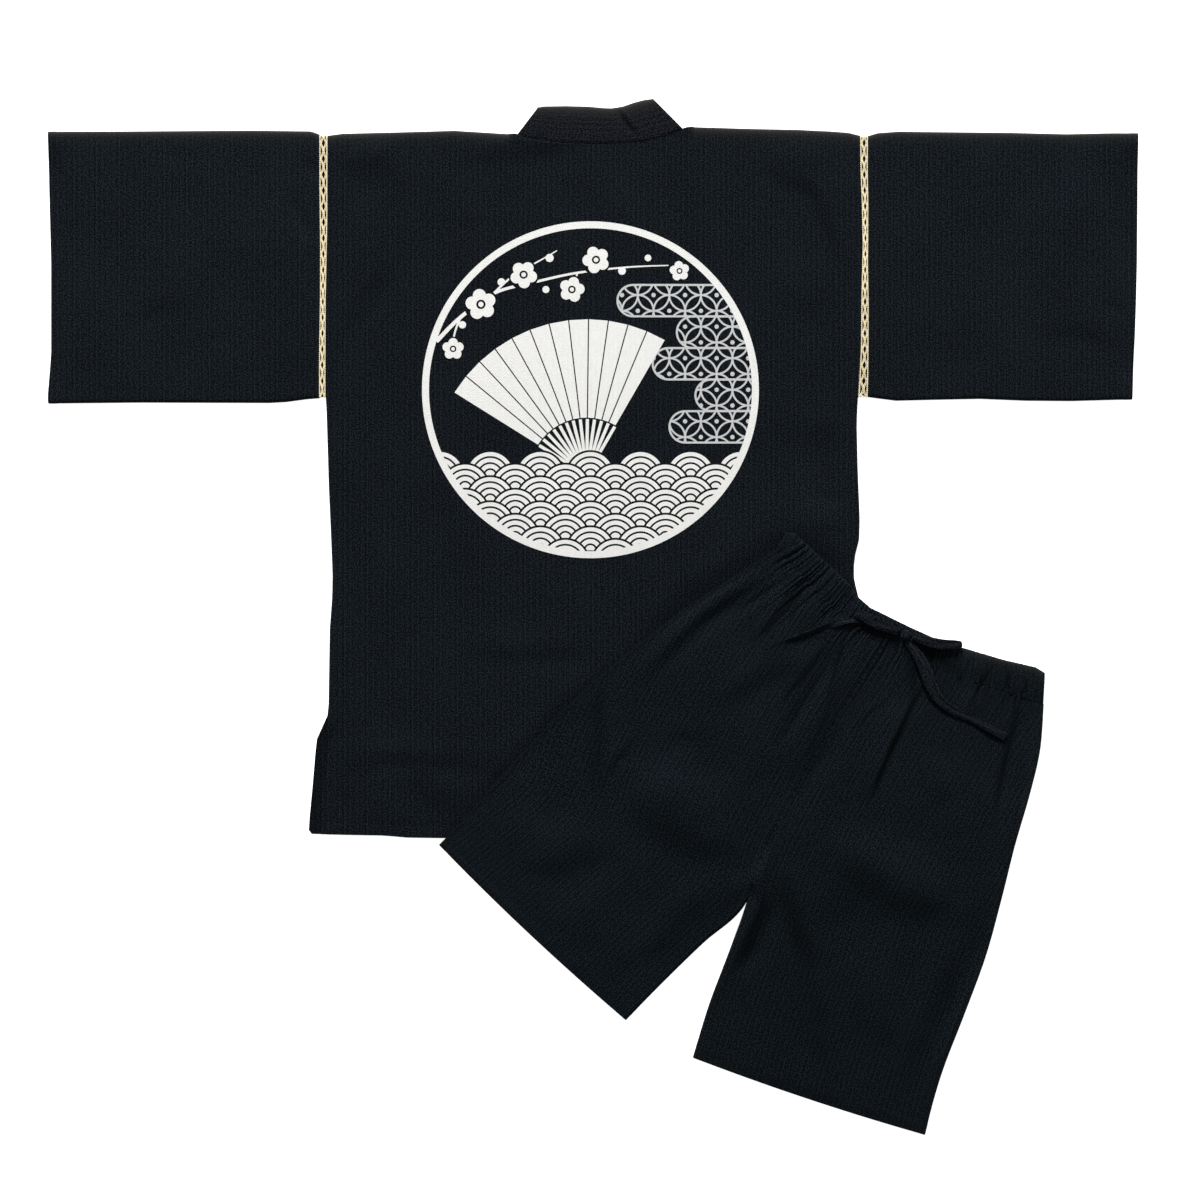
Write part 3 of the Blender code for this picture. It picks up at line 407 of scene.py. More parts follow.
def meshFrom(name, corners, faces, material, grain=None, shades=None):
    # an object from points in millimetres; its faces turned outwards; grain gives each point its UV, and
    # shades gives its painted shade, below 0 its painted highlight ("dusk"), and its painted edge highlight
    # ("rim")
    mesh = bpy.data.meshes.new(name)
    corners = np.asarray(corners, float)
    faces = np.asarray(faces)
    fan = [faces[:, [0, i, i + 1]] for i in range(1, faces.shape[1] - 1)]
    triangles = np.concatenate(fan)
    a, b, c = (corners[triangles[:, i]] for i in range(3))
    if np.einsum("ij,ij->", a, np.cross(b, c)) < 0:
        faces = faces[:, ::-1]
    mesh.from_pydata((corners * mm).tolist(), [], faces.tolist())
    if grain is not None:
        layer = mesh.uv_layers.new(name="grain")
        layer.data.foreach_set("uv", (np.asarray(grain)[faces.ravel()] * mm).ravel())
    for shade, values in (shades or {}).items():
        mesh.attributes.new(shade, "FLOAT", "POINT").data.foreach_set("value", np.asarray(values).ravel())
    mesh.shade_smooth()
    mesh.materials.append(material)
    return newItem(name, mesh)


def clothWall(name, middle, thickness, grain, material, wrap=False, foot=False, dusk=0.0, rim=0.0):
    # a closed wall of cloth round a grid of points; returns the object and its outer surface
    rows, columns = middle.shape[:2]
    normal = gridNormals(middle, wrap)
    half = (np.zeros((rows, columns)) + thickness)[..., None] / 2
    over, under = middle + normal * half, middle - normal * half
    if foot:
        over[..., 2], under[..., 2] = np.maximum(over[..., 2], 0), np.maximum(under[..., 2], 0)
    count = rows * columns
    index = np.arange(count).reshape(rows, columns)
    here = index if wrap else index[:, :-1]
    right = np.roll(index, -1, axis=1) if wrap else index[:, 1:]
    quads = np.stack([here[:-1], right[:-1], right[1:], here[1:]], axis=-1).reshape(-1, 4)
    parts = [quads, quads[:, ::-1] + count]
    low, high = (here[0], right[0]), (here[-1], right[-1])
    parts.append(np.stack([low[0] + count, low[1] + count, low[1], low[0]], axis=-1))
    parts.append(np.stack([high[0], high[1], high[1] + count, high[0] + count], axis=-1))
    if not wrap:
        first, last = index[:, 0], index[:, -1]
        parts.append(np.stack([first[:-1], first[1:], first[1:] + count, first[:-1] + count], axis=-1))
        parts.append(np.stack([last[:-1] + count, last[1:] + count, last[1:], last[:-1]], axis=-1))
    corners = np.concatenate([over.reshape(-1, 3), under.reshape(-1, 3)])
    flat = np.asarray(grain, float).reshape(-1, 2)
    # each point's painted shade (a painted highlight below 0) and its painted edge highlight
    shades = {"dusk": dusk, "rim": rim}
    shades = {shade: np.broadcast_to(values, (2, rows, columns)) for shade, values in shades.items()}
    piece = meshFrom(name, corners, np.concatenate(parts), material, np.concatenate([flat, flat]), shades)
    return piece, over


def paintedEdgeHighlight(distance, strength=1.0):
    # a painted highlight, pale along an edge that the light grazes and fading inwards
    return strength * np.exp(-np.abs(distance) / wallMaking["nap"])


def lipTurns():
    # the steps of a lip, 1 at its outer end
    return np.arange(wallMaking["lipSteps"], 0, -1) / wallMaking["lipSteps"]


def stations(count):
    # across a panel: share of the way, side of the lip (1 at the start, -1 at the end) and turn of the lip
    lips = lipTurns()
    inner = np.linspace(0, 1, count + 1)
    share = np.concatenate([0 * lips, inner, 1 + 0 * lips])
    side = np.concatenate([1 + 0 * lips, 0 * inner, -1 + 0 * lips])
    turn = np.concatenate([lips, 0 * inner, lips[::-1]])
    return share, side, turn


def lipInset(turn, closed):
    # how far in from the outline a lip's point lies: evenly on an open edge, round a quarter turn where sewn
    flat = lipMargin * (1 - turn) ** 1.6
    bent = halfCloth + wallMaking["round"] * (1 - np.sin(turn * math.pi / 2))
    return mix(flat, bent, closed)


def offsetAt(share, side, turn, closedStart, closedEnd):
    closed = np.where(side > 0, closedStart, closedEnd)
    return np.where(side == 0, lipMargin * (1 - 2 * share), side * lipInset(turn, closed))


def panelGrid(shape, rows, columns, height, closed, seamZ):
    # a panel between four outline tables; closed says how far each edge turns over to meet the other layer
    share, side, turn = (a[None, :] for a in stations(columns))
    shareY, sideY, turnY = (a[:, None] for a in stations(rows))
    x = np.zeros((shareY.shape[0], share.shape[1]))
    y = x + mix(along(shape["hem"], 0), along(shape["top"], 0), shareY)
    for _ in range(wallMaking["rounds"]):
        x = (mix(along(shape["left"], y), along(shape["right"], y), share)
             + offsetAt(share, side, turn, closed["left"](y), closed["right"](y)))
        y = (mix(along(shape["hem"], x), along(shape["top"], x), shareY)
             + offsetAt(shareY, sideY, turnY, closed["hem"](x), closed["top"](x)))
    closedX = np.where(side > 0, closed["left"](y), closed["right"](y))
    closedY = np.where(sideY > 0, closed["hem"](x), closed["top"](x))
    drop = np.maximum((1 - np.cos(turn * math.pi / 2)) * closedX, (1 - np.cos(turnY * math.pi / 2)) * closedY)
    z = mix(height(x, y), seamZ, drop)
    return np.stack([x, y, z], axis=-1)


def dress(piece, *nodes, slot="cotton"):
    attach(piece, "root")
    if nodes:
        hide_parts(*nodes)
    return piece


def nodeFor(name):
    # the piece legLeft stands for the node leg_left
    return "".join("_" + letter.lower() if letter.isupper() else letter for letter in name)


# ---- jacket body

# the part of the left edge that back and front share
leftSide = [(-15, -284.6), (20, -282), (45, -281.6), (90, -283.4), (140, -285.6), (200, -287.4),
            (240, -288.6), (340, -288.4), (430, -286.4), (518, -286.2)]
jacket = {
    "backZ": 6.4, "frontZ": 0.45, "ventZ": 2.4, "hemZ": 5.6, "seamZ": 3.5, "overlapLift": 1.9,
    "deepest": -2.6,
    "hem": [(-308, -231), (-304, -236), (-230, -237), (-200, -239.5), (-166, -240), (100, -238), (292, -238)],
    "top": [(-288, 517.5), (-270, 519.8), (-209, 521.3), (-150, 523), (-110, 520.5), (-90, 519.2), (-82, 519),
            (-73, 514), (-36, 509), (7, 508), (50, 510), (80, 517), (98.5, 526), (104, 527), (170, 525),
            (220, 524), (255, 522.3), (275, 520.8), (290, 517)],
    "backLeft": [(-238, -294), (-188, -292.5), (-165, -287.5), (-140, -285.8), (-122, -285.4), (-100, -285.4),
                 *leftSide],
    "backRight": [(-238, 292), (-128, 288), (19, 286), (40, 281), (60, 281), (82, 286.6), (105, 287.2),
                  (160, 285), (205, 284), (235, 285), (290, 288), (340, 288.4), (400, 290), (440, 289),
                  (480, 287.4), (518, 287)],
    "frontLeft": [(-238, -307.6), (-224, -307.2), (-184, -303.4), (-144, -300), (-134, -299), (-124, -295),
                  (-114, -289), (-104, -286), *leftSide],
    "leftOpening": [(-238, 100), (-20, 100), (519, -82)],
    "rightOpening": [(-238, -82), (-20, -82), (526, 98.5)],
    "bandFree": [(-238, 101), (100, 101), (548, -56)],
    "neck": (-82.0, 98.5), "ventTop": -111.0, "armhole": 233.0, "hemWidth": 11.0, "ventHem": 9.5,
    # tone, toneFrom, toneOver: painted light and shade, the back lighter towards its hem and darker towards
    # its top
    "hemWall": 0.55, "swells": [(120, 3, 0.42), (46, 4, 0.13)], "tone": (-0.07, 0.045), "ventPaintedShade": 0.42,
    "toneFrom": -240, "toneOver": 700, "calmOver": 30, "calmTop": 530,
    "cells": (176, 140), "frontCells": (60, 30),
}
jacketFolds = [
    ([(-278, 482), (-240, 488), (-200, 492)], 19.8, 2.8, 1.8),
    ([(-212, 452), (-200, 472), (-184, 490)], 8, 0.2, 0.8),
    ([(-150, 494), (-100, 500), (-50, 502), (0, 508)], 15.3, 1.1, 2.6),
    ([(-170, 424), (-120, 424), (-60, 423)], 6, -0.1, 1.0),
    ([(-278, 298), (-252, 320), (-232, 350), (-208, 384)], 9, -0.6, 2.0),
    ([(184, 492), (205, 470), (236, 456), (246, 430), (258, 400), (266, 366)], 10, 0.3, 2.8),
    ([(252, 388), (270, 382), (286, 380)], 4.5, -0.1, 1.1),
    ([(186, 470), (214, 484), (250, 476)], 23.7, 1.8, 2.5),
    ([(196, 332), (226, 318), (246, 306)], 14, -0.5, 0.2),
    ([(186, 204), (216, 190), (246, 192), (280, 196)], 23.7, -0.6, 1.4),
    ([(226, 131), (256, 130), (286, 130)], 4, -0.2, 1.0),
    ([(-160, -30), (-130, -39), (-90, -41), (-55, -42), (-25, -38), (20, -46)], 14, -0.2, 1.5),
    ([(-300, -160), (-262, -158), (-228, -155), (-196, -152), (-150, -157), (-100, -158), (-78, -150)],
     14, 0.4, 1.5),
    ([(-208, -158), (-186, -180), (-164, -202), (-144, -222)], 19.9, 0.2, 2.3),
    ([(-170, -172), (-150, -190), (-130, -200)], 23.7, 1.2, 1.5),
    ([(-300, -128), (-288, -118), (-276, -100)], 8, 1, -0.2),
    ([(236, 100), (195, 78), (150, 48), (105, 20), (60, -14), (20, -42)], 15.2, -2.4, -2.9),
    ([(20, -50), (-30, -96), (-75, -144), (-120, -192), (-160, -232)], 5, -1.3, -0.5),
    ([(215, 92), (245, 96), (276, 90)], 22.8, 2.5, 2.1),
    ([(236, 78), (262, 58), (284, 40)], 13.5, -1.6, 2.8),
]


trousers = {
    "origin": (347.8, 12.4), "turn": math.radians(27.887), "restZ": 7.2, "ledge": (308.0, -254.0),
    "drape": 44.0, "upperDrape": 230.0, "legLoft": 5.4, "waistLoft": 5.8, "hemLoft": 4.4, "hemWidth": 22.0,
    "deepest": -3.8, "highest": 6.0, "length": 480, "seamLength": 520, "cells": (150, 200, 34),
    "gathers": 60, "gatherHeight": 1.5, "gatherLean": (-0.55, 0.43),
    "swells": [(90, 21, 0.5), (38, 22, 0.16)],
    # waistHighlight: strength of the painted highlight along the waistband's top edge
    "waistWall": 1.6, "waistEdge": 0.5, "waistHighlight": 0.35, "bandDepth": 31.0, "bandRows": 14,
    "waistTop": [(-160, -2), (-152, -6), (-126, 1), (-89, 11), (-74, 15.5), (-58, 23.5), (-42, 27), (6, 25.5),
                 (37, 23.5), (68, 18), (110, 9.5), (146, 0), (158, 1)],
    # sections from the waist seam to the hem: outer U and V, inner U and V, bow
    "left": [(-161, 18, -11, 57, 5), (-192, 74, -15, 110, 2), (-218, 121, -19, 154, 0),
             (-243, 175, -21, 210, 0), (-266, 231, -22, 264, 0), (-286, 290, -21, 314, 0),
             (-305, 361, -12, 376, 0),
             (-318, 414, -31.5, 430, 1), (-327, 448, -49.5, 486, 2), (-333, 469.5, -66.5, 543, 3.3)],
    "right": [(172.5, 31, -11, 57, 3), (192, 76, -15, 110, 1), (204.5, 123, -19, 154, 0),
              (216.5, 181, -21, 210, 0), (230.5, 238, -22, 264, 0), (244.5, 301, -21, 314, 0),
              (253.5, 367, -10, 376, 0), (260, 423, -2.7, 430, 1), (267, 462, 4.8, 488, 2),
              (276.5, 501.5, 16, 545, 3)],
    "crotchRow": 5.7, "openSeam": 0.25, "seamDip": (0.3, 2.2), "hemEdge": 1.4, "crowding": 1.12,
    "hemRows": [4.0, 2.0, 0.9, 0.3, 0], "bandCells": (11, 70, 8), "bandTuck": 1.2, "bandRoll": (0.5, 0.9),
    "elasticRows": 2.5, "elastic": (0.72, 0.28),
    # shadow: depth and width of the painted shadow on the jacket beside the trousers; valley: painted shade
    # in the gathers' valleys; turnedEdge, waistTurned: painted shade along turned edges; sharp,
    # sharpPaintedShade: folds narrower than sharp get a thin painted dark line of that width and depth;
    # darkest: the most painted shade
    "edgeLean": 0.42, "shadow": (0.30, 8.0), "valley": (0.6, 0.85),
    "turnedEdge": [(0.45, 6.5, 4), (0.3, 2.6, 1.6)], "waistTurned": (0.6, 1.5, 4),
    "sharp": 9.0, "sharpPaintedShade": (1.9, 0.42), "darkest": 0.9,
}


def toSet(u, v):
    cosine, sine = math.cos(trousers["turn"]), math.sin(trousers["turn"])
    return (trousers["origin"][0] + u * cosine - v * sine, trousers["origin"][1] - u * sine - v * cosine)


def toTrousers(x, y):
    cosine, sine = math.cos(trousers["turn"]), math.sin(trousers["turn"])
    east, south = x - trousers["origin"][0], trousers["origin"][1] - y
    return east * cosine + south * sine, south * cosine - east * sine


def paintedShadowBesideTrousers(x, y):
    # painted shadow on the jacket close by the trousers' left edge and their waist
    u, v = toTrousers(x, y)
    left = [(-8, -153)] + [(row[1], row[0]) for row in trousers["left"]]
    side = (along(left, v) - u) / math.hypot(1, trousers["edgeLean"])
    outside = np.maximum(side, along(trousers["waistTop"], u) - v)
    depth, width = trousers["shadow"]
    return depth * np.exp(-(np.maximum(outside, 0) / width) ** 2)


# painted shade where the cloth is drawn darker, and painted highlight where it is drawn lighter (below 0),
# than its slope alone makes it
jacketPaintedShades = [
    ([(180, 496), (206, 484), (227, 468), (249, 435), (260, 399), (270, 386), (290, 383)], 6.5, 0.2, 0),
    ([(-214, 394), (-230, 370), (-249, 347), (-266, 325), (-282, 304)], 7, 0.26, 0),
    ([(-292, 480), (-250, 490), (-205, 496)], 6, 0.22, 0),
    ([(-234, 422), (-214, 450), (-194, 476)], 5, 0.14, 0),
    ([(-110, 512), (-77, 506), (-45, 505), (0, 506)], 4, 0.20, 0),
    ([(-206, 428), (-150, 427), (-84, 429)], 3.5, 0.18, 0),
    ([(186, 350), (230, 334), (276, 316)], 14, 0.1, 0),
    ([(200, 210), (247, 193), (300, 176)], 14, 0.1, 0),
    ([(222, 133), (252, 132), (286, 130)], 2.2, 0.38, 0),
    ([(-201, 192), (-199, 156), (-196, 120)], 6, 0.12, 0),
    ([(-160, -39), (-99, -44), (-40, -41), (24, -48)], 9, 0.18, 0),
    ([(-294, -166), (-231, -154), (-172, -158), (-84, -169), (-60, -176)], 7, 0.24, 0),
    ([(-214, -160), (-184, -190), (-150, -228)], 11, 0.12, 0),
    ([(-292, -140), (-278, -118), (-264, -96)], 3, 0.30, 0),
]


def never(where):
    return np.zeros(np.shape(where))


def sideSeam(y):
    return smooth((jacket["armhole"] + 0.5 - y) / 6) * smooth((y - jacket["ventTop"]) / 10)


def shoulderSeam(x):
    left, right = jacket["neck"]
    return 1 - smooth((x - left + 12) / 8) * smooth((right + 12 - x) / 8)


def overlap(x, y):
    return 1 - smooth((x - along(jacket["bandFree"], y) - 30) / 40)


def hemEdges(x, y):
    # 1 in the turned-up hem and down the vents, 0 past their stitching
    edge = wallMaking["hemEdge"]
    low = smooth((jacket["hemWidth"] - (y - along(jacket["hem"], x))) / edge)
    fromSide = np.minimum(x - along(jacket["backLeft"], y), along(jacket["backRight"], y) - x)
    vents = smooth((jacket["ventHem"] - fromSide) / edge) * smooth((jacket["ventTop"] - 4 - y) / 6)
    return np.maximum(low, vents)


def stitchDip(distance):
    # a stitched line draws the cloth down into a soft groove
    depth, width = wallMaking["groove"]
    return -depth * np.exp(-(distance / width) ** 2)


def backHeight(x, y):
    low = jacket["hem"][4][1]
    level = mix(jacket["hemZ"], jacket["backZ"], smooth((y - low) / 22))
    byVent = smooth((jacket["ventTop"] - y) / 25) * (1 - smooth((x - jacket["backLeft"][0][1]) / 20))
    folds = np.maximum(soften(relief(jacketFolds, x, y)), jacket["deepest"])
    calm = smooth((y - low) / jacket["calmOver"]) * smooth((jacket["calmTop"] - y) / jacket["calmOver"])
    level = mix(level, jacket["ventZ"], byVent) + folds + swells(x, y, jacket["swells"]) * calm
    return level + stitchDip(y - along(jacket["hem"], x) - jacket["hemWidth"])


def makeBody():
    closed = {"left": sideSeam, "right": sideSeam, "hem": never, "top": shoulderSeam}
    shape = {"left": jacket["backLeft"], "right": jacket["backRight"], "hem": jacket["hem"],
             "top": jacket["top"]}
    gap = wallMaking["seamGap"] / 2
    grid = panelGrid(shape, *jacket["cells"], backHeight, closed, jacket["seamZ"] + gap)
    x, y = grid[..., 0], grid[..., 1]
    # painted light and shade on the back: lighter towards the hem and darker towards the top, a painted
    # shadow beside the trousers, painted shade lines, and a painted highlight along the top edge
    tone = mix(*jacket["tone"], smooth((y - jacket["toneFrom"]) / jacket["toneOver"]))
    dusk = paintedShadowBesideTrousers(x, y) + relief(jacketPaintedShades, x, y) + tone
    rim = paintedEdgeHighlight(along(jacket["top"], x) - y) * shoulderSeam(x)
    thickness = wallMaking["cloth"] + jacket["hemWall"] * hemEdges(x, y)
    back, outside = clothWall("backPanel", grid, thickness, grid[..., :2], cottonCloth, dusk=dusk, rim=rim)
    dress(back, "back")

    # each front: the side it opens at, how far it climbs over the other one, its edges and what it lies on
    fronts = {
        "frontLeft": ("right", 0.0, {"left": jacket["frontLeft"], "right": jacket["leftOpening"]}, "floor"),
        "frontRight": ("left", jacket["overlapLift"], {"left": jacket["rightOpening"]}, "frontLeft"),
    }
    for name, (opening, lift, sides, below) in fronts.items():
        def level(x, y):
            return jacket["frontZ"] + lift * overlap(x, y)

        grid = panelGrid({**shape, **sides}, *jacket["frontCells"], level, {**closed, opening: never},
                         jacket["seamZ"] - gap)
        x, y = grid[..., 0], grid[..., 1]
        # painted shade on a front where it shows in the vent beside the back's edge
        shown = smooth((along(jacket["backLeft"], y) + 2 - x) / 2)
        paintedVentShade = jacket["ventPaintedShade"] * shown * smooth((jacket["ventTop"] - 4 - y) / 12)
        front, _ = clothWall(name, grid, wallMaking["cloth"], grid[..., :2], cottonCloth, foot=True,
                             dusk=paintedVentShade)
        dress(front, nodeFor(name))
    return back, outside


backPiece, backSurface = makeBody()
print("jacket body made")


# ---- collar

collarBand = {
    "wall": 1.6, "width": 40, "bandEnd": 120.0, "tuck": 0.9,
    "across": 16, "downFront": 60, "acrossNeck": 60, "turnRows": 8, "frontStop": 0.992,
    "neckStops": (0.003, 0.985), "turnOut": (0.4, 0.3), "puff": 0.35, "seamDip": (1.5, 1.6),
    # rim: strength of the painted highlight along the free edge; shade: painted shade lines on the collar
    "swells": [(40, 8, 0.12)], "rim": 1.2,
    "freeTop": [(-59, 547.6), (-54, 548.6), (-30, 549), (-6, 548.4), (12, 546.8), (20, 546.6), (32, 548.6),
                (44, 552.8), (55, 555.6), (65, 556.8)],
    "fold": [([(25, 549), (32, 537), (41, 525), (50, 516)], 3.0, -1.3, 1.5)],
    "shade": [([(24, 552), (30, 543), (35, 534), (43, 524), (52, 514)], 2.6, 0.8, 0),
              ([(-70, 534), (-20, 531), (20, 532)], 2.4, 0.15, 0)],
}


def collarEnds(place, share):
    # seam and free edge points: place 0 up the left front, 1 across the back of the neck, 2 down the right
    gap = wallMaking["seamGap"]
    neckLeft, neckRight = jacket["neck"]
    freeTop = collarBand["freeTop"]
    share = np.asarray(share, float)
    if place == 1:
        seamX = mix(neckLeft, neckRight, share)
        freeX = mix(freeTop[0][0], freeTop[-1][0], share)
        return (np.stack([seamX, along(jacket["top"], seamX) - collarBand["tuck"]], -1),
                np.stack([freeX, along(freeTop, freeX)], -1))
    neck, corner = (neckLeft, freeTop[0]) if place == 0 else (neckRight, freeTop[-1])
    lowY, lowX = (jacket["leftOpening"] if place == 0 else jacket["rightOpening"])[1]
    shift = gap if place == 0 else -gap
    share = share[:, None]
    seam = mix(np.array([lowX + shift, lowY]), np.array([neck + shift, along(jacket["top"], neck)]), share)
    free = mix(np.array([lowX + shift, lowY + collarBand["bandEnd"]]), np.array(corner, float), share)
    return seam, free


def collarRows(place, shares):
    seam, free = collarEnds(place, shares)
    part = np.linspace(0, 1, collarBand["across"] + 1)[None, :, None]
    spot = mix(seam[:, None], free[:, None], part)
    x, y = spot[..., 0], spot[..., 1]
    z = np.full(x.shape, collarBand["wall"] / 2)
    if place == 1:
        puff = np.sin(part[..., 0] * math.pi) * collarBand["puff"]
        z = jacket["backZ"] + puff + relief(collarBand["fold"], x, y) + swells(x, y, collarBand["swells"])
        depth, width = collarBand["seamDip"]
        z = z - depth * np.exp(-((y - along(jacket["top"], x)) / width) ** 2)
    if place == 2:
        z = z + jacket["overlapLift"] * overlap(x, y)
    return np.stack([x, y, z], -1)


def collarTurn(before, after, inward):
    # half a turn from one layer to the other, round the fold at the neck's side
    rows = []
    steps = collarBand["turnRows"]
    for step in range(1, steps):
        angle = math.pi * (0.5 - step / steps)
        near = before if angle > 0 else after
        spot = mix(near + np.array(inward), near, 1 - math.cos(angle))
        spot[:, 2] = (before[:, 2] + after[:, 2]) / 2 + (before[:, 2] - after[:, 2]) / 2 * math.sin(angle)
        rows.append(spot)
    return np.array(rows)


def makeCollar():
    up = collarRows(0, np.linspace(0, collarBand["frontStop"], collarBand["downFront"]))
    over = collarRows(1, np.linspace(*collarBand["neckStops"], collarBand["acrossNeck"]))
    down = collarRows(2, np.linspace(collarBand["frontStop"], 0, collarBand["downFront"]))
    out, upward = collarBand["turnOut"]
    rows = np.concatenate([up, collarTurn(up[-1], over[0], (-out, upward, 0)), over,
                           collarTurn(over[-1], down[0], (out, upward, 0)), down])
    part = np.linspace(0, collarBand["width"], rows.shape[1])[None, :]
    grain = np.stack(np.broadcast_arrays(part, runAlong(rows.mean(axis=1))[:, None]), -1)
    # painted shade along the collar's lines, and a painted highlight along its free edge
    dusk = relief(collarBand["shade"], rows[..., 0], rows[..., 1])
    piece, _ = clothWall("collarFold", rows, collarBand["wall"], grain, collarCloth, foot=True, dusk=dusk,
                         rim=paintedEdgeHighlight(collarBand["width"] - part, collarBand["rim"]))
    dress(piece, "collar")


makeCollar()
print("collar made")


# ---- sleeves

sleeves = {
    "cuffZ": 2.6, "laceGap": 1.0, "tuck": 1.6, "underLift": 1.3, "cells": (84, 76, 22), "cuffHem": 10.0,
    "reach": (297, 587), "length": 291, "swells": [(110, 11, 0.4), (44, 12, 0.12)],
    # rows close to the cuff, by distance from it, the first rows, and rows under the jacket's edge, by share
    "cuffRows": [9, 4.5, 2.2, 1.0, 0.4, 0], "firstRows": [0, 0.002, 0.006],
    "under": [0, 0.25, 0.5, 0.7, 0.8, 0.9],
    # outlines: height of the fold and of the seam by distance out, and the cuff's distance out by height
    "left": {"inner": [(228, -296), (280, -296.2), (340, -295), (400, -295), (460, -295.8), (524, -296)],
             "fold": [(294, 517), (299, 520), (306, 522.4), (370, 523.2), (430, 522.8), (510, 522.2),
                      (590, 522)],
             "seam": [(294, 234.5), (310, 233.2), (332, 230.2), (350, 229.2), (490, 229.6), (590, 228.6)],
             "cuff": [(228, 588), (240, 588), (262, 586.6), (285, 585.2), (380, 585.2), (460, 587.2),
                      (522, 588.2)]},
    "right": {"inner": [(228, 295.8), (260, 296.8), (340, 296.9), (380, 296.1), (440, 296.6), (480, 296),
                        (524, 296.3)],
              "fold": [(294, 516.5), (299, 518), (307, 520.4), (330, 522.2), (350, 521.8), (450, 520.8),
                       (510, 519.3), (560, 520.4), (590, 520.2)],
              "seam": [(294, 236), (310, 233.8), (328, 231.6), (370, 232.6), (420, 233.6), (470, 231.6),
                       (520, 231.2), (570, 232.6), (590, 233)],
              "cuff": [(230, 580.6), (262, 582), (300, 584), (340, 585.4), (380, 586.3), (440, 586.8),
                       (520, 587.2)]},
}
sleeveFolds = [
    ([(-309, 497), (-301, 484), (-298, 470)], 6, -1.2, 1.4),
    ([(-322, 458), (-312, 430), (-300, 400)], 7, -1.2, 1.6),
    ([(-560, 500), (-552, 420), (-556, 300), (-560, 262)], 20, -0.9, 1.6),
    ([(-520, 300), (-470, 330), (-420, 326)], 14, -0.6, 1.2),
    ([(-470, 512), (-450, 500), (-400, 506)], 8, -0.5, 1.0),
    ([(470, 290), (520, 305), (572, 282)], 14, -0.8, 1.4),
    ([(550, 338), (565, 332), (580, 326)], 6, -0.8, 1.2),
    ([(306, 262), (318, 246), (336, 238)], 7, -0.8, 1.0),
    ([(308, 470), (320, 430), (312, 380)], 9, -0.6, 1.2),
    ([(540, 420), (556, 370), (560, 330)], 14, 0.7, 0.8),
]


def foldColumns(upper, lower):
    # round a folded piece: up the upper layer, round its fold and back along the lower one.
    # share along the layer, offset side and turn of its lips, level (1 upper, 0 lower) and layer sign
    lips, steps = lipTurns(), wallMaking["lipSteps"]
    top, low = np.linspace(0, 1, upper + 1), np.linspace(1, 0, lower + 1)
    angle = math.pi * (0.5 - np.arange(1, 2 * steps) / (2 * steps))
    parts = [
        np.stack([0 * lips, 1 + 0 * lips, lips, 1 + 0 * lips, 1 + 0 * lips]),
        np.stack([top, 0 * top, 0 * top, 1 + 0 * top, 1 + 0 * top]),
        np.stack([1 + 0 * angle, 2 + 0 * angle, 1 - np.cos(angle), (1 + np.sin(angle)) / 2, 0 * angle]),
        np.stack([low, 0 * low, 0 * low, 0 * low, -1 + 0 * low]),
        np.stack([0 * lips, 1 + 0 * lips, lips[::-1], 0 * lips, -1 + 0 * lips]),
    ]
    return np.concatenate(parts, axis=1)


def foldOffsets(columns, closed):
    # distance from where share puts a point, along the section, and how far its lip has dropped
    share, side, turn, _, _ = columns
    bend = -(halfCloth + wallMaking["round"] * turn)
    lip = np.where(side == 1, lipInset(turn, closed), bend)
    offset = np.where(side == 0, lipMargin * (1 - 2 * share), lip)
    drop = np.where(side == 1, (1 - np.cos(turn * math.pi / 2)) * closed, 0.0)
    return offset, drop


def foldedLevel(columns, drop, high, low):
    _, _, _, level, layer = columns
    middle = (high + low + layer * wallMaking["seamGap"]) / 2
    return mix(mix(low, high, level), middle, drop)


def foldedCloth(columns, fromHem, hem, edge, across, fold):
    # thickness, with the turned-up hem in the upper layer, and the distance round the fold
    layer = columns[4][None, :]
    upper = wallMaking["cloth"] + wallMaking["hemWall"] * smooth((hem - fromHem) / edge)
    thickness = np.where(layer < 0, wallMaking["cloth"], upper)
    return thickness, np.where(layer >= 0, across, 2 * fold - across)


def sleeveRows():
    # share of the way out to the cuff, and how far each row has come out from under the jacket's edge
    share = np.linspace(0, 1, sleeves["cells"][0] + 1)
    byCuff = 1 - np.array(sleeves["cuffRows"]) / sleeves["length"]
    share = np.unique(np.concatenate([share[:-2], byCuff, sleeves["firstRows"]]))
    under = np.array(sleeves["under"])
    return np.concatenate([0 * under, share])[:, None], np.concatenate([under, 1 + 0 * share])[:, None]


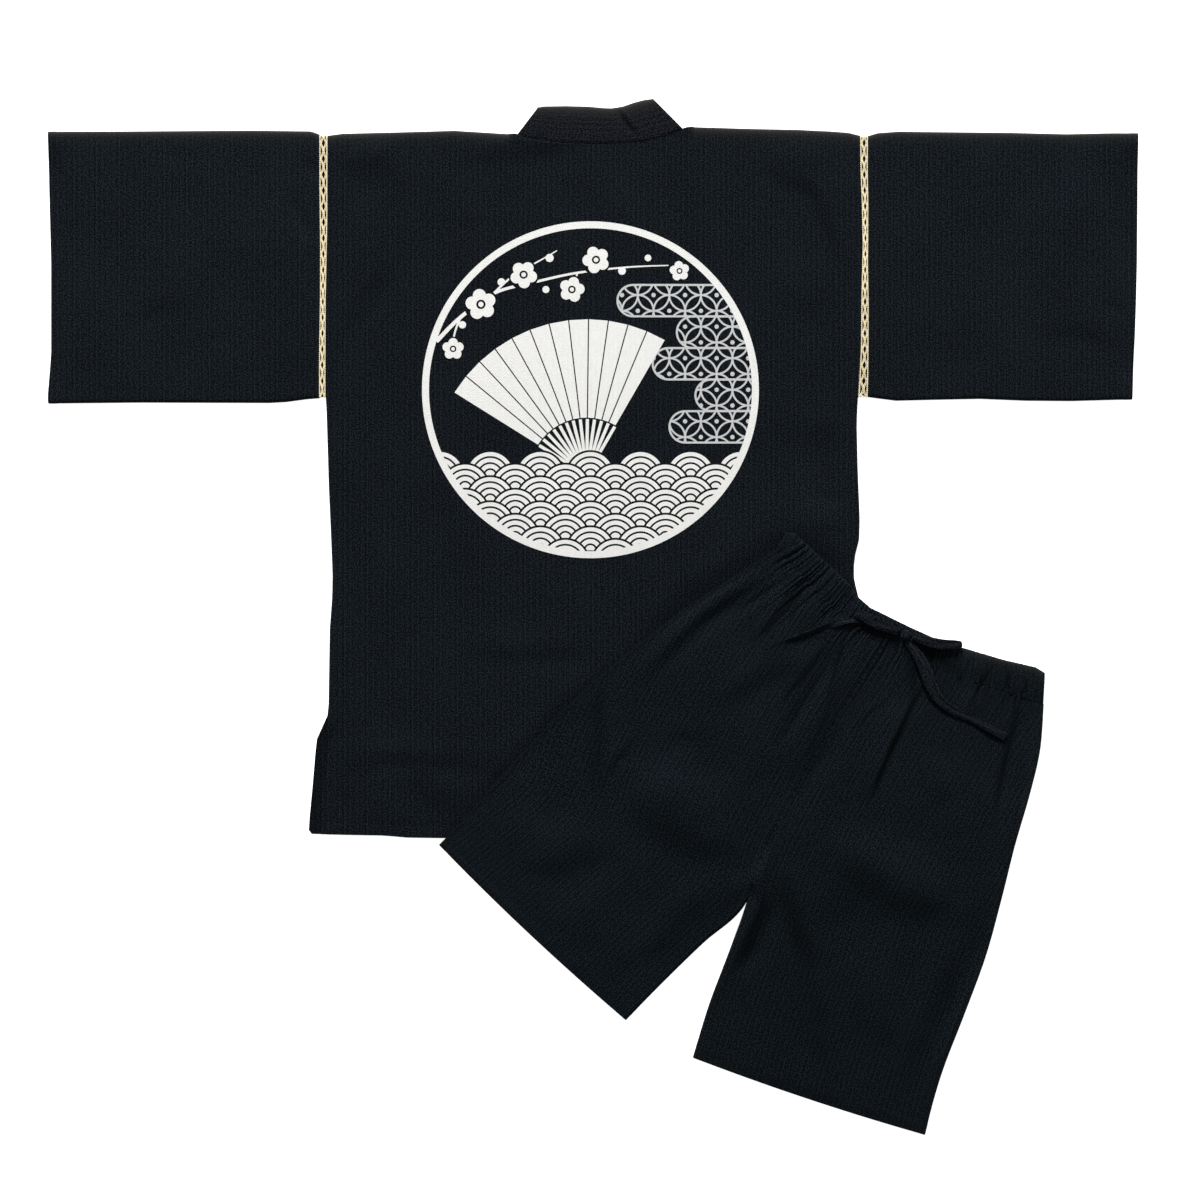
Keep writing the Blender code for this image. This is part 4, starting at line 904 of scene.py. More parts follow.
def makeSleeve(name, sign, bodyTable):
    columns = foldColumns(*sleeves["cells"][1:])
    shape = sleeves["left" if sign < 0 else "right"]
    rowShare, out = sleeveRows()
    tucked = 1 - smooth((out - 0.7) / 0.3)
    away = mix(*sleeves["reach"], rowShare)
    lowY = along(shape["seam"], away) + sleeves["tuck"] * tucked
    highY = along(shape["fold"], away) - sleeves["tuck"] * tucked
    offset, drop = foldOffsets(columns[:, None, :], np.ones_like(rowShare))
    y = mix(lowY, highY, columns[0][None, :]) + offset
    cuff = along(shape["cuff"], y)
    bodyEdge = along(bodyTable, np.maximum(y, jacket["armhole"]))
    edge = mix(bodyEdge + sign * sleeves["laceGap"], along(shape["inner"], y), out)
    x = mix(edge, sign * cuff, rowShare)
    part = (y - lowY) / (highY - lowY)
    inside = smooth(6 * part) * smooth(6 * (1 - part))
    fromCuff = cuff - np.abs(x)
    calm = inside * smooth(fromCuff / 30)
    high = mix(jacket["backZ"], sleeves["cuffZ"], smooth((rowShare - 0.9) / 0.1) * inside)
    high = high - sleeves["tuck"] * tucked
    high = high + (relief(sleeveFolds, x, y) + swells(x, y, sleeves["swells"])) * calm
    high = high + stitchDip(fromCuff - sleeves["cuffHem"]) * inside
    low = jacket["frontZ"] + sleeves["underLift"] * tucked + 0 * x
    z = foldedLevel(columns[:, None, :], drop, high, low)
    thickness, run = foldedCloth(columns, fromCuff, sleeves["cuffHem"], wallMaking["hemEdge"], y, highY)
    # rim: a painted highlight along the sleeve's fold
    piece, outside = clothWall(name, np.stack([x, y, z], -1), thickness, np.stack([x, run], -1), cottonCloth,
                               foot=True, rim=paintedEdgeHighlight(highY - y))
    dress(piece, nodeFor(name))
    return piece, outside


leftSleeve, leftSleeveSurface = makeSleeve("sleeveLeft", -1, jacket["backLeft"])
rightSleeve, rightSleeveSurface = makeSleeve("sleeveRight", 1, jacket["backRight"])
print("sleeves made")


# ---- trousers

trouserFolds = [
    ([(-140, 28), (-155, 52), (-172, 76), (-186, 101), (-198, 127), (-207, 153), (-215, 184), (-227, 232)],
     11.5, 0.9, 4.4),
    ([(-135, 34), (-148, 58), (-161, 84), (-170, 106)], 5, -0.6, 1.4),
    ([(-176, 40), (-192, 78), (-214, 128), (-234, 180)], 9, 0.1, -0.9),
    ([(-121, 38), (-127, 68), (-132, 98), (-137, 120)], 7.8, 1.1, 2.1),
    ([(-118, 34), (-114, 60), (-108, 92)], 5, -1.9, -0.9),
    ([(-85, 80), (-95, 94), (-110, 106), (-120, 122)], 4.5, 0.4, 0.2),
    ([(-68, 98), (-90, 124), (-110, 150), (-123, 176), (-134, 208)], 16.9, 0.5, 2.8),
    ([(-66, 80), (-72, 110), (-78, 145), (-80, 168)], 8, 0.3, 0.9),
    ([(-56, 80), (-56, 110), (-58, 142), (-60, 180), (-65, 220)], 8.5, -2.8, 1.4),
    ([(-47, 66), (-42, 96), (-35, 125), (-31, 155), (-30, 190), (-38, 245)], 7.8, 0.6, 0.1),
    ([(-22, 58), (-18, 110), (-17, 152), (-18, 185), (-21, 232), (-22, 290)], 17.1, -2.5, 2.3),
    ([(-38, 150), (-42, 200), (-46, 260)], 27, -0.3, 2),
    ([(-8, 66), (-10, 100), (-12, 150)], 5, -0.2, -0.7),
    ([(3, 160), (9, 128), (18, 110), (26, 92)], 4, 0.1, -0.5),
    ([(44, 74), (46, 100), (48, 130), (49, 160), (52, 190), (57, 228)], 5.9, 0.3, 3),
    ([(30, 80), (34, 140), (42, 220)], 16, 3, -2.1),
    ([(104, 52), (103, 68), (104, 90)], 11.5, 2.6, 1.2),
    ([(127, 22), (130, 44), (139, 76)], 4, 0.2, 0.3),
    ([(145, 20), (151, 52), (159, 86), (168, 122), (180, 160), (197, 190)], 7.8, -1.4, 2.7),
    ([(188, 90), (199, 140), (213, 198)], 8, -0.7, 0),
    ([(96, 152), (112, 168), (130, 174)], 15.2, 1, -1.8),
    ([(60, 132), (92, 142), (128, 134)], 14, 0.6, 0.8),
    ([(18, 242), (70, 252), (128, 240), (174, 252), (206, 258)], 28, 1.1, 2),
    ([(22, 274), (60, 281), (98, 286), (130, 290), (162, 284), (196, 271), (218, 256)], 28, 2, -5.5),
    ([(66, 312), (110, 330), (160, 330)], 28, -2.4, -2),
    ([(203, 236), (214, 285), (219, 332), (223, 372), (228, 420), (233, 462), (236, 494)], 20.3, -0.4, 4.7),
    ([(232, 280), (245, 350), (252, 420), (262, 480)], 9, 2.4, -1.8),
    ([(-6, 304), (10, 326), (31, 350), (52, 373), (72, 391), (88, 402)], 13, 2.0, -4.6),
    ([(82, 396), (100, 428), (112, 456), (132, 478), (160, 496)], 16, 1.0, -2.8),
    ([(-1, 340), (8, 372), (13, 400), (12, 430), (7, 456)], 13.5, -1.8, 6.6),
    ([(-20, 300), (-17, 322), (-13, 346), (-8, 370)], 7, 2.6, -0.8),
    ([(-8, 346), (-17, 356), (-27, 374)], 14.4, 0.8, 2),
    ([(-28, 338), (-44, 368), (-58, 396), (-69, 428), (-79, 460), (-94, 488), (-112, 506)], 19.8, 1.3, 2.3),
    ([(-200, 304), (-150, 288), (-105, 282), (-62, 268)], 28, 1.9, 4.5),
    ([(-196, 318), (-155, 330), (-118, 340), (-84, 338), (-54, 322), (-34, 296)], 28, 2.8, -4),
    ([(-176, 250), (-156, 246), (-138, 238), (-128, 222)], 11.7, -0.9, -1.1),
    ([(-266, 222), (-252, 262), (-237, 286), (-225, 310), (-214, 337), (-205, 362)], 9, -0.6, 1.9),
    ([(-200, 262), (-205, 290), (-208, 316), (-204, 342)], 8.5, 0.1, 1.7),
    ([(-174, 370), (-180, 394), (-195, 416), (-210, 440), (-222, 468)], 26.4, -0.8, 3.9),
    ([(-256, 392), (-242, 420), (-232, 456)], 27, 0.9, -1.2),
    ([(-290, 330), (-270, 400), (-280, 450)], 28, 1.8, -2),
    ([(-180, 470), (-150, 488), (-118, 484)], 14, -0.7, -0.4),
    ([(170, 350), (190, 400), (200, 440)], 26, 1.6, 0.6),
]


# painted shade lines and spots on the trousers, first the shadows under the bow; rows below 0 are painted
# highlights
trouserPaintedShades = [
    ([(-56, 44), (-30, 46), (-8, 50), (10, 54)], 5.5, 0.55, 0),
    ([(12, 42), (30, 43), (44, 42), (56, 38), (74, 32)], 6.5, 0.9, 0),
    ([(6, 44), (18, 56), (32, 70), (42, 90), (46, 112)], 4.0, 0.5, 0),
    ([(-30, 50), (-56, 60), (-74, 78), (-92, 96)], 2.5, 0.25, 0),
    ([(-270, 214), (-252, 258), (-237, 286), (-225, 310), (-214, 337), (-203, 366)], 8, 0.34, 0),
    ([(-4, 302), (20, 332), (46, 362), (70, 390), (92, 408)], 12.5, 0.4, 0),
    ([(70, 386), (98, 420), (128, 460), (162, 510)], 9, 0.2, 0),
    ([(2, 330), (10, 356), (13, 392), (11, 430), (8, 462)], 8, 0.4, 0),
    ([(-16, 352), (-24, 372), (-40, 404)], 6, 0.25, 0),
    ([(-84, 466), (-98, 497), (-114, 526)], 9, 0.25, 0),
    ([(-19, 304), (-17, 326), (-14, 352)], 6, -1.2, 0),
    ([(-13, 350), (-9, 366), (-6, 382)], 5, -0.9, 0),
    ([(152, 20), (186, 84), (199, 120), (216, 184)], 9, -0.6, 0),
    ([(234, 250), (247, 330), (253, 380), (261, 446)], 6, -0.7, 0),
    ([(-338, 464), (-250, 488), (-160, 514), (-64, 540)], 7, -0.5, 0),
    ([(-360, 350), (-240, 430), (-120, 470), (10, 520)], 56, -0.2, 0),
    ([(140, 26), (150, 60), (168, 120), (186, 170)], 4, 0.3, 0),
    ([(49, 50), (47, 84), (46, 104), (47, 138), (49, 170), (55, 214)], 2.0, 1.5, 0),
    ([(-66, 66), (-68, 105), (-72, 130), (-83, 176)], 1.7, 0.85, 0),
    ([(-54, 48), (-48, 86), (-43, 111), (-34, 154)], 1.7, 0.75, 0),
    ([(-11, 144), (-15, 174), (-17, 201), (-18, 231), (-18, 286)], 3.5, 0.36, 0),
    ([(-117, 32), (-121, 69), (-129, 95), (-142, 128)], 1.7, 0.7, 0),
    ([(103, 6), (103, 23), (101, 42), (101, 56), (102, 84)], 1.7, 1.1, 0),
    ([(98, 12), (98, 33), (99, 54)], 1.6, 0.6, 0),
    ([(119, 8), (125, 27), (126, 48)], 1.7, 0.8, 0),
    ([(142, 9), (145, 25), (147, 42)], 1.7, 0.8, 0),
    ([(78, 14), (79, 33), (79, 52)], 1.8, 0.5, 0),
    ([(-26, 340), (-10, 360), (-8, 384)], 2.0, 0.8, 0),
    ([(-8, 332), (4, 364), (6, 388), (5, 428)], 3.0, 0.55, 0),
    ([(-190, 332), (-130, 344), (-70, 338), (-20, 308)], 14, 0.17, 0),
    ([(-92, 64), (-108, 110), (-120, 150), (-142, 216)], 8, 0.18, 0),
]


def rest(x, y, drape="drape"):
    # height of what the trousers lie on: the jacket, or the surface beyond its edges
    beyond = np.hypot(np.maximum(x - trousers["ledge"][0], 0), np.maximum(trousers["ledge"][1] - y, 0))
    return trousers["restZ"] * (1 - smooth(beyond / trousers[drape]))


def gatherPhase(waist):
    # counts the gathers along the waist, closer together on the left and unevenly spaced
    drift = 0.6 * np.sin(waist * 19 + 1) + 0.45 * np.sin(waist * 43 + 2) + 0.28 * np.sin(waist * 97)
    return trousers["gathers"] * (1.22 * waist - 0.22 * waist ** 2) + drift


def gatherWave(waist):
    # round puffs with sharp valleys between them, from -1 to 1
    return 2 * np.abs(np.sin(math.pi * gatherPhase(waist))) ** 0.75 - 1


def gatherReach(waist):
    # each gather dies out at its own distance from the seam
    number = np.round(gatherPhase(waist))
    return 24 + 12 * np.sin(number * 1.7) + 8 * np.sin(number * 0.61 + 1) + 3 * np.sin(number * 4.1 + 2)


def gatherSize(waist):
    # and each has its own depth
    number = gatherPhase(waist)
    return 0.62 + 0.36 * np.sin(number * 2.3 + 1) + 0.28 * np.sin(number * 0.83)


def paintedGatherShade(waist):
    # painted shade at the bottom of each valley between two gathers, and little elsewhere
    depth = mix(*trousers["valley"], waist) * gatherSize(waist)
    return (1 - np.abs(np.sin(math.pi * gatherPhase(waist)))) ** 3 * depth


def softSwell(waist, down):
    # slow rounds that the gathers leave below them
    return np.sin(gatherPhase(waist) * 0.9 + 1) * np.exp(-(down / 85) ** 2) * 0.55


def deepen(dusk, turned):
    # painted shade: where the cloth turns over at an edge it is at least that dark
    return np.where(turned > 0.01, np.maximum(dusk, turned), dusk)


def legPlan(sections, sign, columns):
    # where a leg's points lie from above: every row starts at the inner seam and runs out to the fold
    share = np.linspace(0, 1, trousers["cells"][0] + 1) ** trousers["crowding"]
    byHem = 1 - np.array(trousers["hemRows"]) / trousers["length"]
    share = np.unique(np.concatenate([share[:-1], byHem]))
    outerU, outerV, innerU, innerV, sag = curve(sections, share).T[:, :, None]
    toHem = share[:, None]
    closed = smooth((toHem * (len(sections) - 1) - trousers["crotchRow"] + 0.2) / 0.8)
    inner = np.stack(toSet(innerU + sign * wallMaking["seamGap"] / 2, innerV), -1)
    outer = np.stack(toSet(outerU, outerV), -1)
    length = np.linalg.norm(outer - inner, axis=-1)
    out = (outer - inner) / length[..., None]
    side = np.where(out[..., :1] < 0, np.stack([-np.abs(out[..., 1]), -np.abs(out[..., 0])], -1),
                    np.stack([out[..., 1], -out[..., 0]], -1))
    offset, drop = foldOffsets(columns[:, None, :], np.maximum(closed, trousers["openSeam"]))
    distance = length * columns[0][None, :] + offset
    part = distance / length
    place = inner + out * distance[..., None] + side * (4 * sag * part * (1 - part))[..., None]
    return place[..., 0], place[..., 1], toHem, closed, length, distance, drop


# painted shade on a leg: the table's lines and spots (painted highlights below 0), a thin dark line along
# each sharp fold, and shade in the gathers' valleys
def legPaintedShade(x, y, waist, down, reach, calm):
    sharp = [(points, *trousers["sharpPaintedShade"], 0) for points, width, _, _ in trouserFolds
             if width < trousers["sharp"]]
    dusk = relief(trouserPaintedShades + sharp, *toTrousers(x, y))
    return dusk + paintedGatherShade(waist) * np.exp(-(down / (1.6 * reach)) ** 2) * calm


def makeLeg(name, sections, sign):
    columns = foldColumns(*trousers["cells"][1:])
    x, y, toHem, closed, length, distance, drop = legPlan(sections, sign, columns)
    part = distance / length
    down, fromHem = toHem * trousers["seamLength"], (1 - toHem) * trousers["length"]
    leftEnd, rightEnd = trousers["left"][0][0], trousers["right"][0][0]
    centre = (sections[0][2] - leftEnd) / (rightEnd - leftEnd)
    waist = mix(centre, 0.0 if sign < 0 else 1.0, part)
    calm = smooth(8 * (1 - part))
    reach = np.maximum(gatherReach(waist), 8)
    gathers = (gatherWave(waist) * gatherSize(waist) * np.exp(-(down / reach) ** 1.5)
               * trousers["gatherHeight"] * calm)

    inside = np.maximum(smooth((distance - 1) / 13), 1 - closed) * smooth((length - distance - 1) / 7)
    hem = smooth((toHem - 0.955) / 0.045) * inside
    loft = mix(trousers["waistLoft"], trousers["legLoft"], smooth(toHem / 0.12))
    loft = mix(loft, trousers["hemLoft"], hem)
    folds = soften(relief(trouserFolds, *toTrousers(x, y))) + swells(x, y, trousers["swells"])
    folds = np.clip(folds + softSwell(waist, down) * calm, trousers["deepest"], trousers["highest"])
    high = rest(x, y, "upperDrape") + loft + gathers + folds * inside * (1 - hem)
    high = high + stitchDip(fromHem - trousers["hemWidth"])
    high = high - trousers["seamDip"][0] * np.exp(-(down / trousers["seamDip"][1]) ** 2)
    z = foldedLevel(columns[:, None, :], drop, high, rest(x, y) + halfCloth)

    thickness, run = foldedCloth(columns, fromHem, trousers["hemWidth"], trousers["hemEdge"], distance,
                                 length)
    grain = np.stack(np.broadcast_arrays(run, down), -1)
    dusk = legPaintedShade(x, y, waist, down, reach, calm)
    # a painted shadow along the left leg's turned outer edge, which faces the light
    if sign < 0:
        turned = sum(depth * smooth((distance - length + start) / width)
                     for depth, start, width in trousers["turnedEdge"])
        dusk = deepen(dusk, turned)
    dusk = np.minimum(dusk, trousers["darkest"])
    rows = slice(None, None, -1 if sign > 0 else 1)
    piece, outside = clothWall(name, np.stack([x, y, z], -1)[rows], thickness[rows], grain[rows],
                               trouserCloth, foot=True, dusk=dusk[rows])
    dress(piece, nodeFor(name))
    return piece, outside[rows]


leftLeg, leftLegSurface = makeLeg("legLeft", trousers["left"], -1)
rightLeg, rightLegSurface = makeLeg("legRight", trousers["right"], 1)
print("legs made")


def waistSeam(share):
    # the seam's line from the trousers' left fold to the right one
    left, right = trousers["left"][0], trousers["right"][0]
    u = mix(left[0], right[0], share)
    partLeft = (u - left[0]) / (left[2] - left[0])
    partRight = (u - right[2]) / (right[0] - right[2])
    vLeft = mix(left[1], left[3], partLeft) + 4 * left[4] * partLeft * (1 - partLeft)
    vRight = mix(right[3], right[1], partRight) + 4 * right[4] * partRight * (1 - partRight)
    return u, np.where(u < left[2], vLeft, vRight)


def makeWaistband():
    # a loop: the gathered front, the right fold, the plain back, the left fold
    wall, roundness, depth = trousers["waistWall"], wallMaking["round"], trousers["bandDepth"]
    perGather, plain, turns = trousers["bandCells"]
    edge = wall / 2 + roundness
    width = trousers["right"][0][0] - trousers["left"][0][0]
    front = np.linspace(edge, width - edge, trousers["gathers"] * perGather + 1)
    back = np.linspace(width - edge, edge, plain + 1)
    angle = math.pi * (0.5 - np.arange(1, turns) / turns)
    bend = wall / 2 + roundness * (1 - np.cos(angle))
    distance = np.concatenate([front, width - bend, back, bend[::-1]])[None, :]
    level = np.concatenate([1 + 0 * front, (1 + np.sin(angle)) / 2, 0 * back,
                            (1 + np.sin(angle[::-1])) / 2])[None, :]
    isFront = (np.arange(distance.shape[1]) < len(front))[None, :] * 1.0
    up = np.linspace(0, 1, trousers["bandRows"] + 1)[:, None]
    share = distance / width
    seamU, seamV = waistSeam(np.clip(share, 0, 1))
    topU = mix(trousers["waistTop"][0][0], trousers["waistTop"][-1][0], share)
    lowV = seamV + trousers["bandTuck"]
    x, y = toSet(mix(seamU, topU, up), mix(lowV, along(trousers["waistTop"], topU), up))

    settled = smooth(up * depth / 12)
    fade = smooth(16 * share) * smooth(16 * (1 - share))
    below = share + mix(*trousers["gatherLean"], share) * up * depth / width
    slack, pull = trousers["elastic"]
    elastic = slack + pull * np.cos(up * math.pi * 2 * trousers["elasticRows"]) ** 2
    puff = gatherWave(below) * gatherSize(below) * trousers["gatherHeight"] * elastic
    swell, drop = trousers["bandRoll"]
    roll = np.sin(up * math.pi) * swell * settled - drop * smooth((up - 0.86) / 0.14)
    over = rest(x, y, "upperDrape") + trousers["waistLoft"] - 0.2 * settled
    inside = smooth((distance - 1) / 7) * smooth((width - distance - 1) / 7)
    shared = (softSwell(share, 0) * fade + swells(x, y, trousers["swells"]) * inside) * (1 - up ** 2)
    z = mix(rest(x, y) + wall / 2, over + roll, level) + (puff * fade + shared) * isFront
    middle = np.stack([x, y, z], -1)

    grain = np.stack(np.broadcast_arrays(runAlong(middle[0])[None, :], up * depth), -1)
    # painted shade from the trousers' table and in the gathers' valleys, painted shade round the band's left
    # fold, and a painted highlight along the top edge of its right part
    dusk = (relief(trouserPaintedShades, *toTrousers(x, y)) + paintedGatherShade(below) * fade) * isFront
    darkness, start, reach = trousers["waistTurned"]
    dusk = deepen(dusk, darkness * (1 - smooth((distance - start) / reach)))
    rim = paintedEdgeHighlight((1 - up) * depth, trousers["waistHighlight"]) * smooth((share - 0.55) / 0.1) * isFront
    thickness = mix(trousers["waistEdge"], wall, settled) * isFront + wall * (1 - isFront)
    piece, outside = clothWall("waistPanel", middle, thickness, grain, trouserCloth, wrap=True, foot=True,
                               dusk=dusk, rim=rim)
    dress(piece, "waistband")
    return piece, outside[:, :len(front)]


waistPiece, waistSurface = makeWaistband()
print("waistband made")


# ---- ties and the bow

bow = {
    "width": 10.0, "wall": 0.9, "knot": (5, 35.5), "knotSize": (10.0, 11.0, 5.2), "knotZ": 6.6,
    "knotWall": 0.8, "knotCells": (48, 26), "tailCells": (90, 8), "loopCells": (40, 8),
    "loopGap": 1.5, "loopSwell": 0.7,
    "loopEnd": (0.4, 1.9), "loopTurns": [-75, -50, -25, 0, 25, 50, 75],
    # routes: U, V, the underside's height over the rest height, the width's share, the roll in degrees
    "tails": {
        "tieTailLeft": [(-3, 37, 7.4, 0.9, 10), (-20, 40, 7.4, 0.9, -10), (-44, 43, 7.4, 0.9, -38),
                        (-62, 54, 7.2, 0.9, -30), (-76, 68, 6.8, 0.9, 40), (-92, 86, 6.4, 0.8, 58),
                        (-106, 101, 5.8, 0.6, 56)],
        "tieTailRight": [(9, 40, 7.8, 0.85, 0), (22, 46, 8.0, 1.05, 8), (38, 56, 8.2, 1.3, 8),
                         (51, 68, 8.2, 1.3, 4), (67, 79, 7.6, 1.15, -6), (88, 83, 7.3, 0.95, -8),
                         (109, 82, 7.2, 0.75, 5), (131, 82, 7.0, 0.8, 15), (152, 82, 6.8, 0.85, 10)],
    },
    "loops": {
        "tieLoopLeft": [(-4, 35.5, 8.6, 0.8, 0), (-20, 38, 8.6, 1.1, 4), (-36, 38.5, 8.6, 1.15, -4),
                        (-52, 39, 8.6, 1.0, 0)],
        "tieLoopRight": [(12, 33, 8.0, 0.75, 0), (28, 30.5, 8.0, 1.05, 5), (44, 26, 8.0, 1.15, -3),
                         (57, 19.5, 8.0, 1.0, 0), (61.5, 17, 8.0, 0.8, 0)],
    },
}
himo = {
    "width": 12.0, "wall": 0.9, "clear": 0.05, "cells": (60, 6),
    "routes": {
        "himoInnerSeam": [(-277, 12, 1.5), (-215, 30, 1.5), (-150, 24, 1.5), (-112, 8, 1.5)],
        "himoInnerFront": [(-90, -26, 1.5), (-130, -44, 1.5), (-185, -52, 1.5), (-235, -84, 1.5)],
        "himoOuterFront": [(106.4, -24, 0), (106.4, -70, 0), (106.6, -120, 0), (106.4, -170, 0)],
        "himoOuterSeam": [(276, -12, 1.5), (268, -50, 1.5), (250, -92, 1.5), (240, -140, 1.5)],
    },
}


def sideways(line):
    # unit vectors across a flat line of points
    heading = np.gradient(line[:, :2], axis=0)
    heading /= np.linalg.norm(heading, axis=1, keepdims=True)
    return np.stack([-heading[:, 1], heading[:, 0]], -1)


def ribbonGrid(route, width, cells, wall, ground):
    # a flat strip along a route; its rows bend, roll and narrow as the route says
    share = np.linspace(0, 1, cells[0] + 1)
    spots = curve(route, share)
    if spots.shape[1] == 3:
        spots = np.concatenate([spots, np.ones((len(spots), 1)), np.zeros((len(spots), 1))], axis=1)
    side = sideways(spots)
    part = np.linspace(-1, 1, cells[1] + 1)
    half = (spots[:, 3] * width / 2)[:, None] * part[None, :]
    roll = np.radians(spots[:, 4])[:, None]
    u = spots[:, :1] + side[:, :1] * half * np.cos(roll)
    v = spots[:, 1:2] + side[:, 1:] * half * np.cos(roll)
    crease = 0.35 * np.sin(part[None, :] * 4 + share[:, None] * 9) + 0.25 * (1 - part[None, :] ** 2)
    lift = spots[:, 2:3] + wall / 2 + half * np.sin(roll) * 0.6 + crease
    x, y, base = ground(u, v)
    run = share * np.linalg.norm(np.diff(spots[:, :2], axis=0), axis=1).sum()
    grain = np.stack(np.broadcast_arrays(part[None, :] * width / 2, run[:, None]), -1)
    return np.stack([x, y, base + lift], -1), grain


def onTrousers(u, v):
    x, y = toSet(u, v)
    return x, y, rest(x, y, "upperDrape")


def onJacket(u, v):
    return u, v, 0 * u


def loopRows(low):
    # a loop of the bow: its lower layer, a rounded end and the upper layer back to the knot
    gap = bow["loopGap"]
    end = low[-1] - low[-2]
    end /= np.linalg.norm(end, axis=1, keepdims=True)
    mid = low[-1].mean(axis=0)
    pinch, reach = bow["loopEnd"]
    turn = [mid + (low[-1] - mid) * (1 - pinch * math.cos(a) ** 2) + end * (reach * math.cos(a))
            + np.array([0, 0, gap / 2 * (1 + math.sin(a))]) for a in np.radians(bow["loopTurns"])]
    high = low + np.array([0, 0, gap])
    high[..., 2] += np.sin(np.linspace(0, math.pi, len(high)))[:, None] * bow["loopSwell"]
    return np.concatenate([low, np.array(turn), high[::-1]])


def layTape(name, look, rows, grain, cloth):
    # a finished tie, cut as wide as its tape and as long as its grain runs
    piece, _ = clothWall(name, rows, look["wall"], grain, cloth)
    dress(piece, nodeFor(name))


def makeTies():
    for name, route in bow["tails"].items():
        rows, grain = ribbonGrid(route, bow["width"], bow["tailCells"], bow["wall"], onTrousers)
        layTape(name, bow, rows, grain, tieCloth)
    for name, route in bow["loops"].items():
        low, grain = ribbonGrid(route, bow["width"], bow["loopCells"], bow["wall"], onTrousers)
        rows = loopRows(low)
        grain = np.stack(np.broadcast_arrays(grain[:1, :, 0], runAlong(rows[:, 4])[:, None]), -1)
        layTape(name, bow, rows, grain, tieCloth)
    for name, route in himo["routes"].items():
        rows, grain = ribbonGrid(route, himo["width"], himo["cells"], himo["wall"], onJacket)
        rows[..., 2] = route[0][2] + himo["wall"] / 2 + himo["clear"]
        layTape(name, himo, rows, grain, cottonCloth)


def makeKnot():
    # a strip wrapped once round the loops' roots, drawn tight: a squashed ring of cloth with pinched folds
    around, rows = bow["knotCells"]
    long, wide, high = (s / 2 for s in bow["knotSize"])
    angle = np.linspace(0, 2 * math.pi, around, endpoint=False)[None, :]
    part = np.linspace(-1, 1, rows + 1)[:, None]
    belly = np.sqrt(np.clip(1 - (part * 0.93) ** 2, 0, 1)) ** 0.55
    folds = 1 + 0.07 * np.cos(part * 9 + 1.2 * np.sin(angle)) + 0.03 * np.cos(angle * 5)
    u = bow["knot"][0] + part * long * 0.86 + 0.6 * np.cos(angle)
    v = bow["knot"][1] + wide * belly * folds * np.cos(angle)
    lift = bow["knotZ"] + high + high * belly * folds * np.sin(angle)
    x, y, base = onTrousers(u, v)
    middle = np.stack([x, y, base + lift], -1)
    grain = np.stack(np.broadcast_arrays(part * long, angle * wide), -1)
    caps = []
    for end in (middle[:1], middle[-1:]):
        caps.append([mix(end, end.mean(axis=1, keepdims=True), share) for share in (0.97, 0.5)])
    closedRows = np.concatenate([*caps[0], middle, *caps[1][::-1]])
    pad = np.concatenate([grain[:1], grain[:1], grain, grain[-1:], grain[-1:]])
    piece, _ = clothWall("tieKnot", closedRows, bow["knotWall"], pad, tieCloth, wrap=True)
    dress(piece, nodeFor("tieKnot"))


makeTies()
makeKnot()
print("ties and bow made")


# ---- ladder lace

lace = {
    "room": 8.0, "endY": 235.5, "pitch": 17.1, "core": 0.5, "swing": 1.75, "peak": 4.0, "ply": 0.50,
    "rail": 3.05, "thread": 0.47, "twist": 4.4, "backZ": 6.4, "frontZ": 0.75, "foldTop": 518.0, "step": 1.4,
    "points": (120, 13),
}
laceSizes = ("step", "pitch", "core", "swing", "ply", "rail", "twist", "thread")


def newTree(name, sizes, others):
    # a geometry tree with named inputs for its sizes and material, and a way to reach them
    tree = bpy.data.node_groups.new(name, "GeometryNodeTree")
    kinds = {"Geometry": "Geometry", **{size.capitalize(): "Float" for size in sizes}, **others,
             "Material": "Material"}
    for socket, kind in kinds.items():
        tree.interface.new_socket(socket, in_out="INPUT", socket_type="NodeSocket" + kind)
    tree.interface.new_socket("Geometry", in_out="OUTPUT", socket_type="NodeSocketGeometry")
    enter = tree.nodes.new("NodeGroupInput")

    def given(socket):
        return Wire(tree, enter.outputs[socket])

    return Wire(tree, None), given


def endTree(wire, shape, given):
    # plain smooth faces in the given material
    real = wire.node("GeometryNodeRealizeInstances", None, {0: shape})
    smoothed = wire.node("GeometryNodeSetShadeSmooth", None, {"Geometry": real})
    finished = wire.node("GeometryNodeSetMaterial", None,
                         {"Geometry": smoothed, "Material": given("Material")})
    leave = wire.tree.nodes.new("NodeGroupOutput")
    wire.tree.links.new(finished.socket, leave.inputs[0])
    return wire.tree


def guideCurve(name, lines):
    data = bpy.data.curves.new(name, "CURVE")
    data.dimensions = "3D"
    for line in lines:
        spline = data.splines.new("POLY")
        spline.points.add(len(line) - 1)
        spots = np.concatenate([np.asarray(line) * mm, np.ones((len(line), 1))], 1)
        spline.points.foreach_set("co", spots.ravel())
    return newItem(name, data)


def bake(name, guide, tree, values):
    # runs a tree on the guide with its inputs set, and keeps the result as a plain mesh
    modifier = guide.modifiers.new("shape", "NODES")
    modifier.node_group = tree
    for item in tree.interface.items_tree:
        if item.in_out == "INPUT" and item.name in values:
            modifier[item.identifier] = values[item.name]
    graph = bpy.context.evaluated_depsgraph_get()
    mesh = bpy.data.meshes.new_from_object(guide.evaluated_get(graph))
    bpy.data.objects.remove(guide, do_unlink=True)
    mesh.name = name
    return newItem(name, mesh)


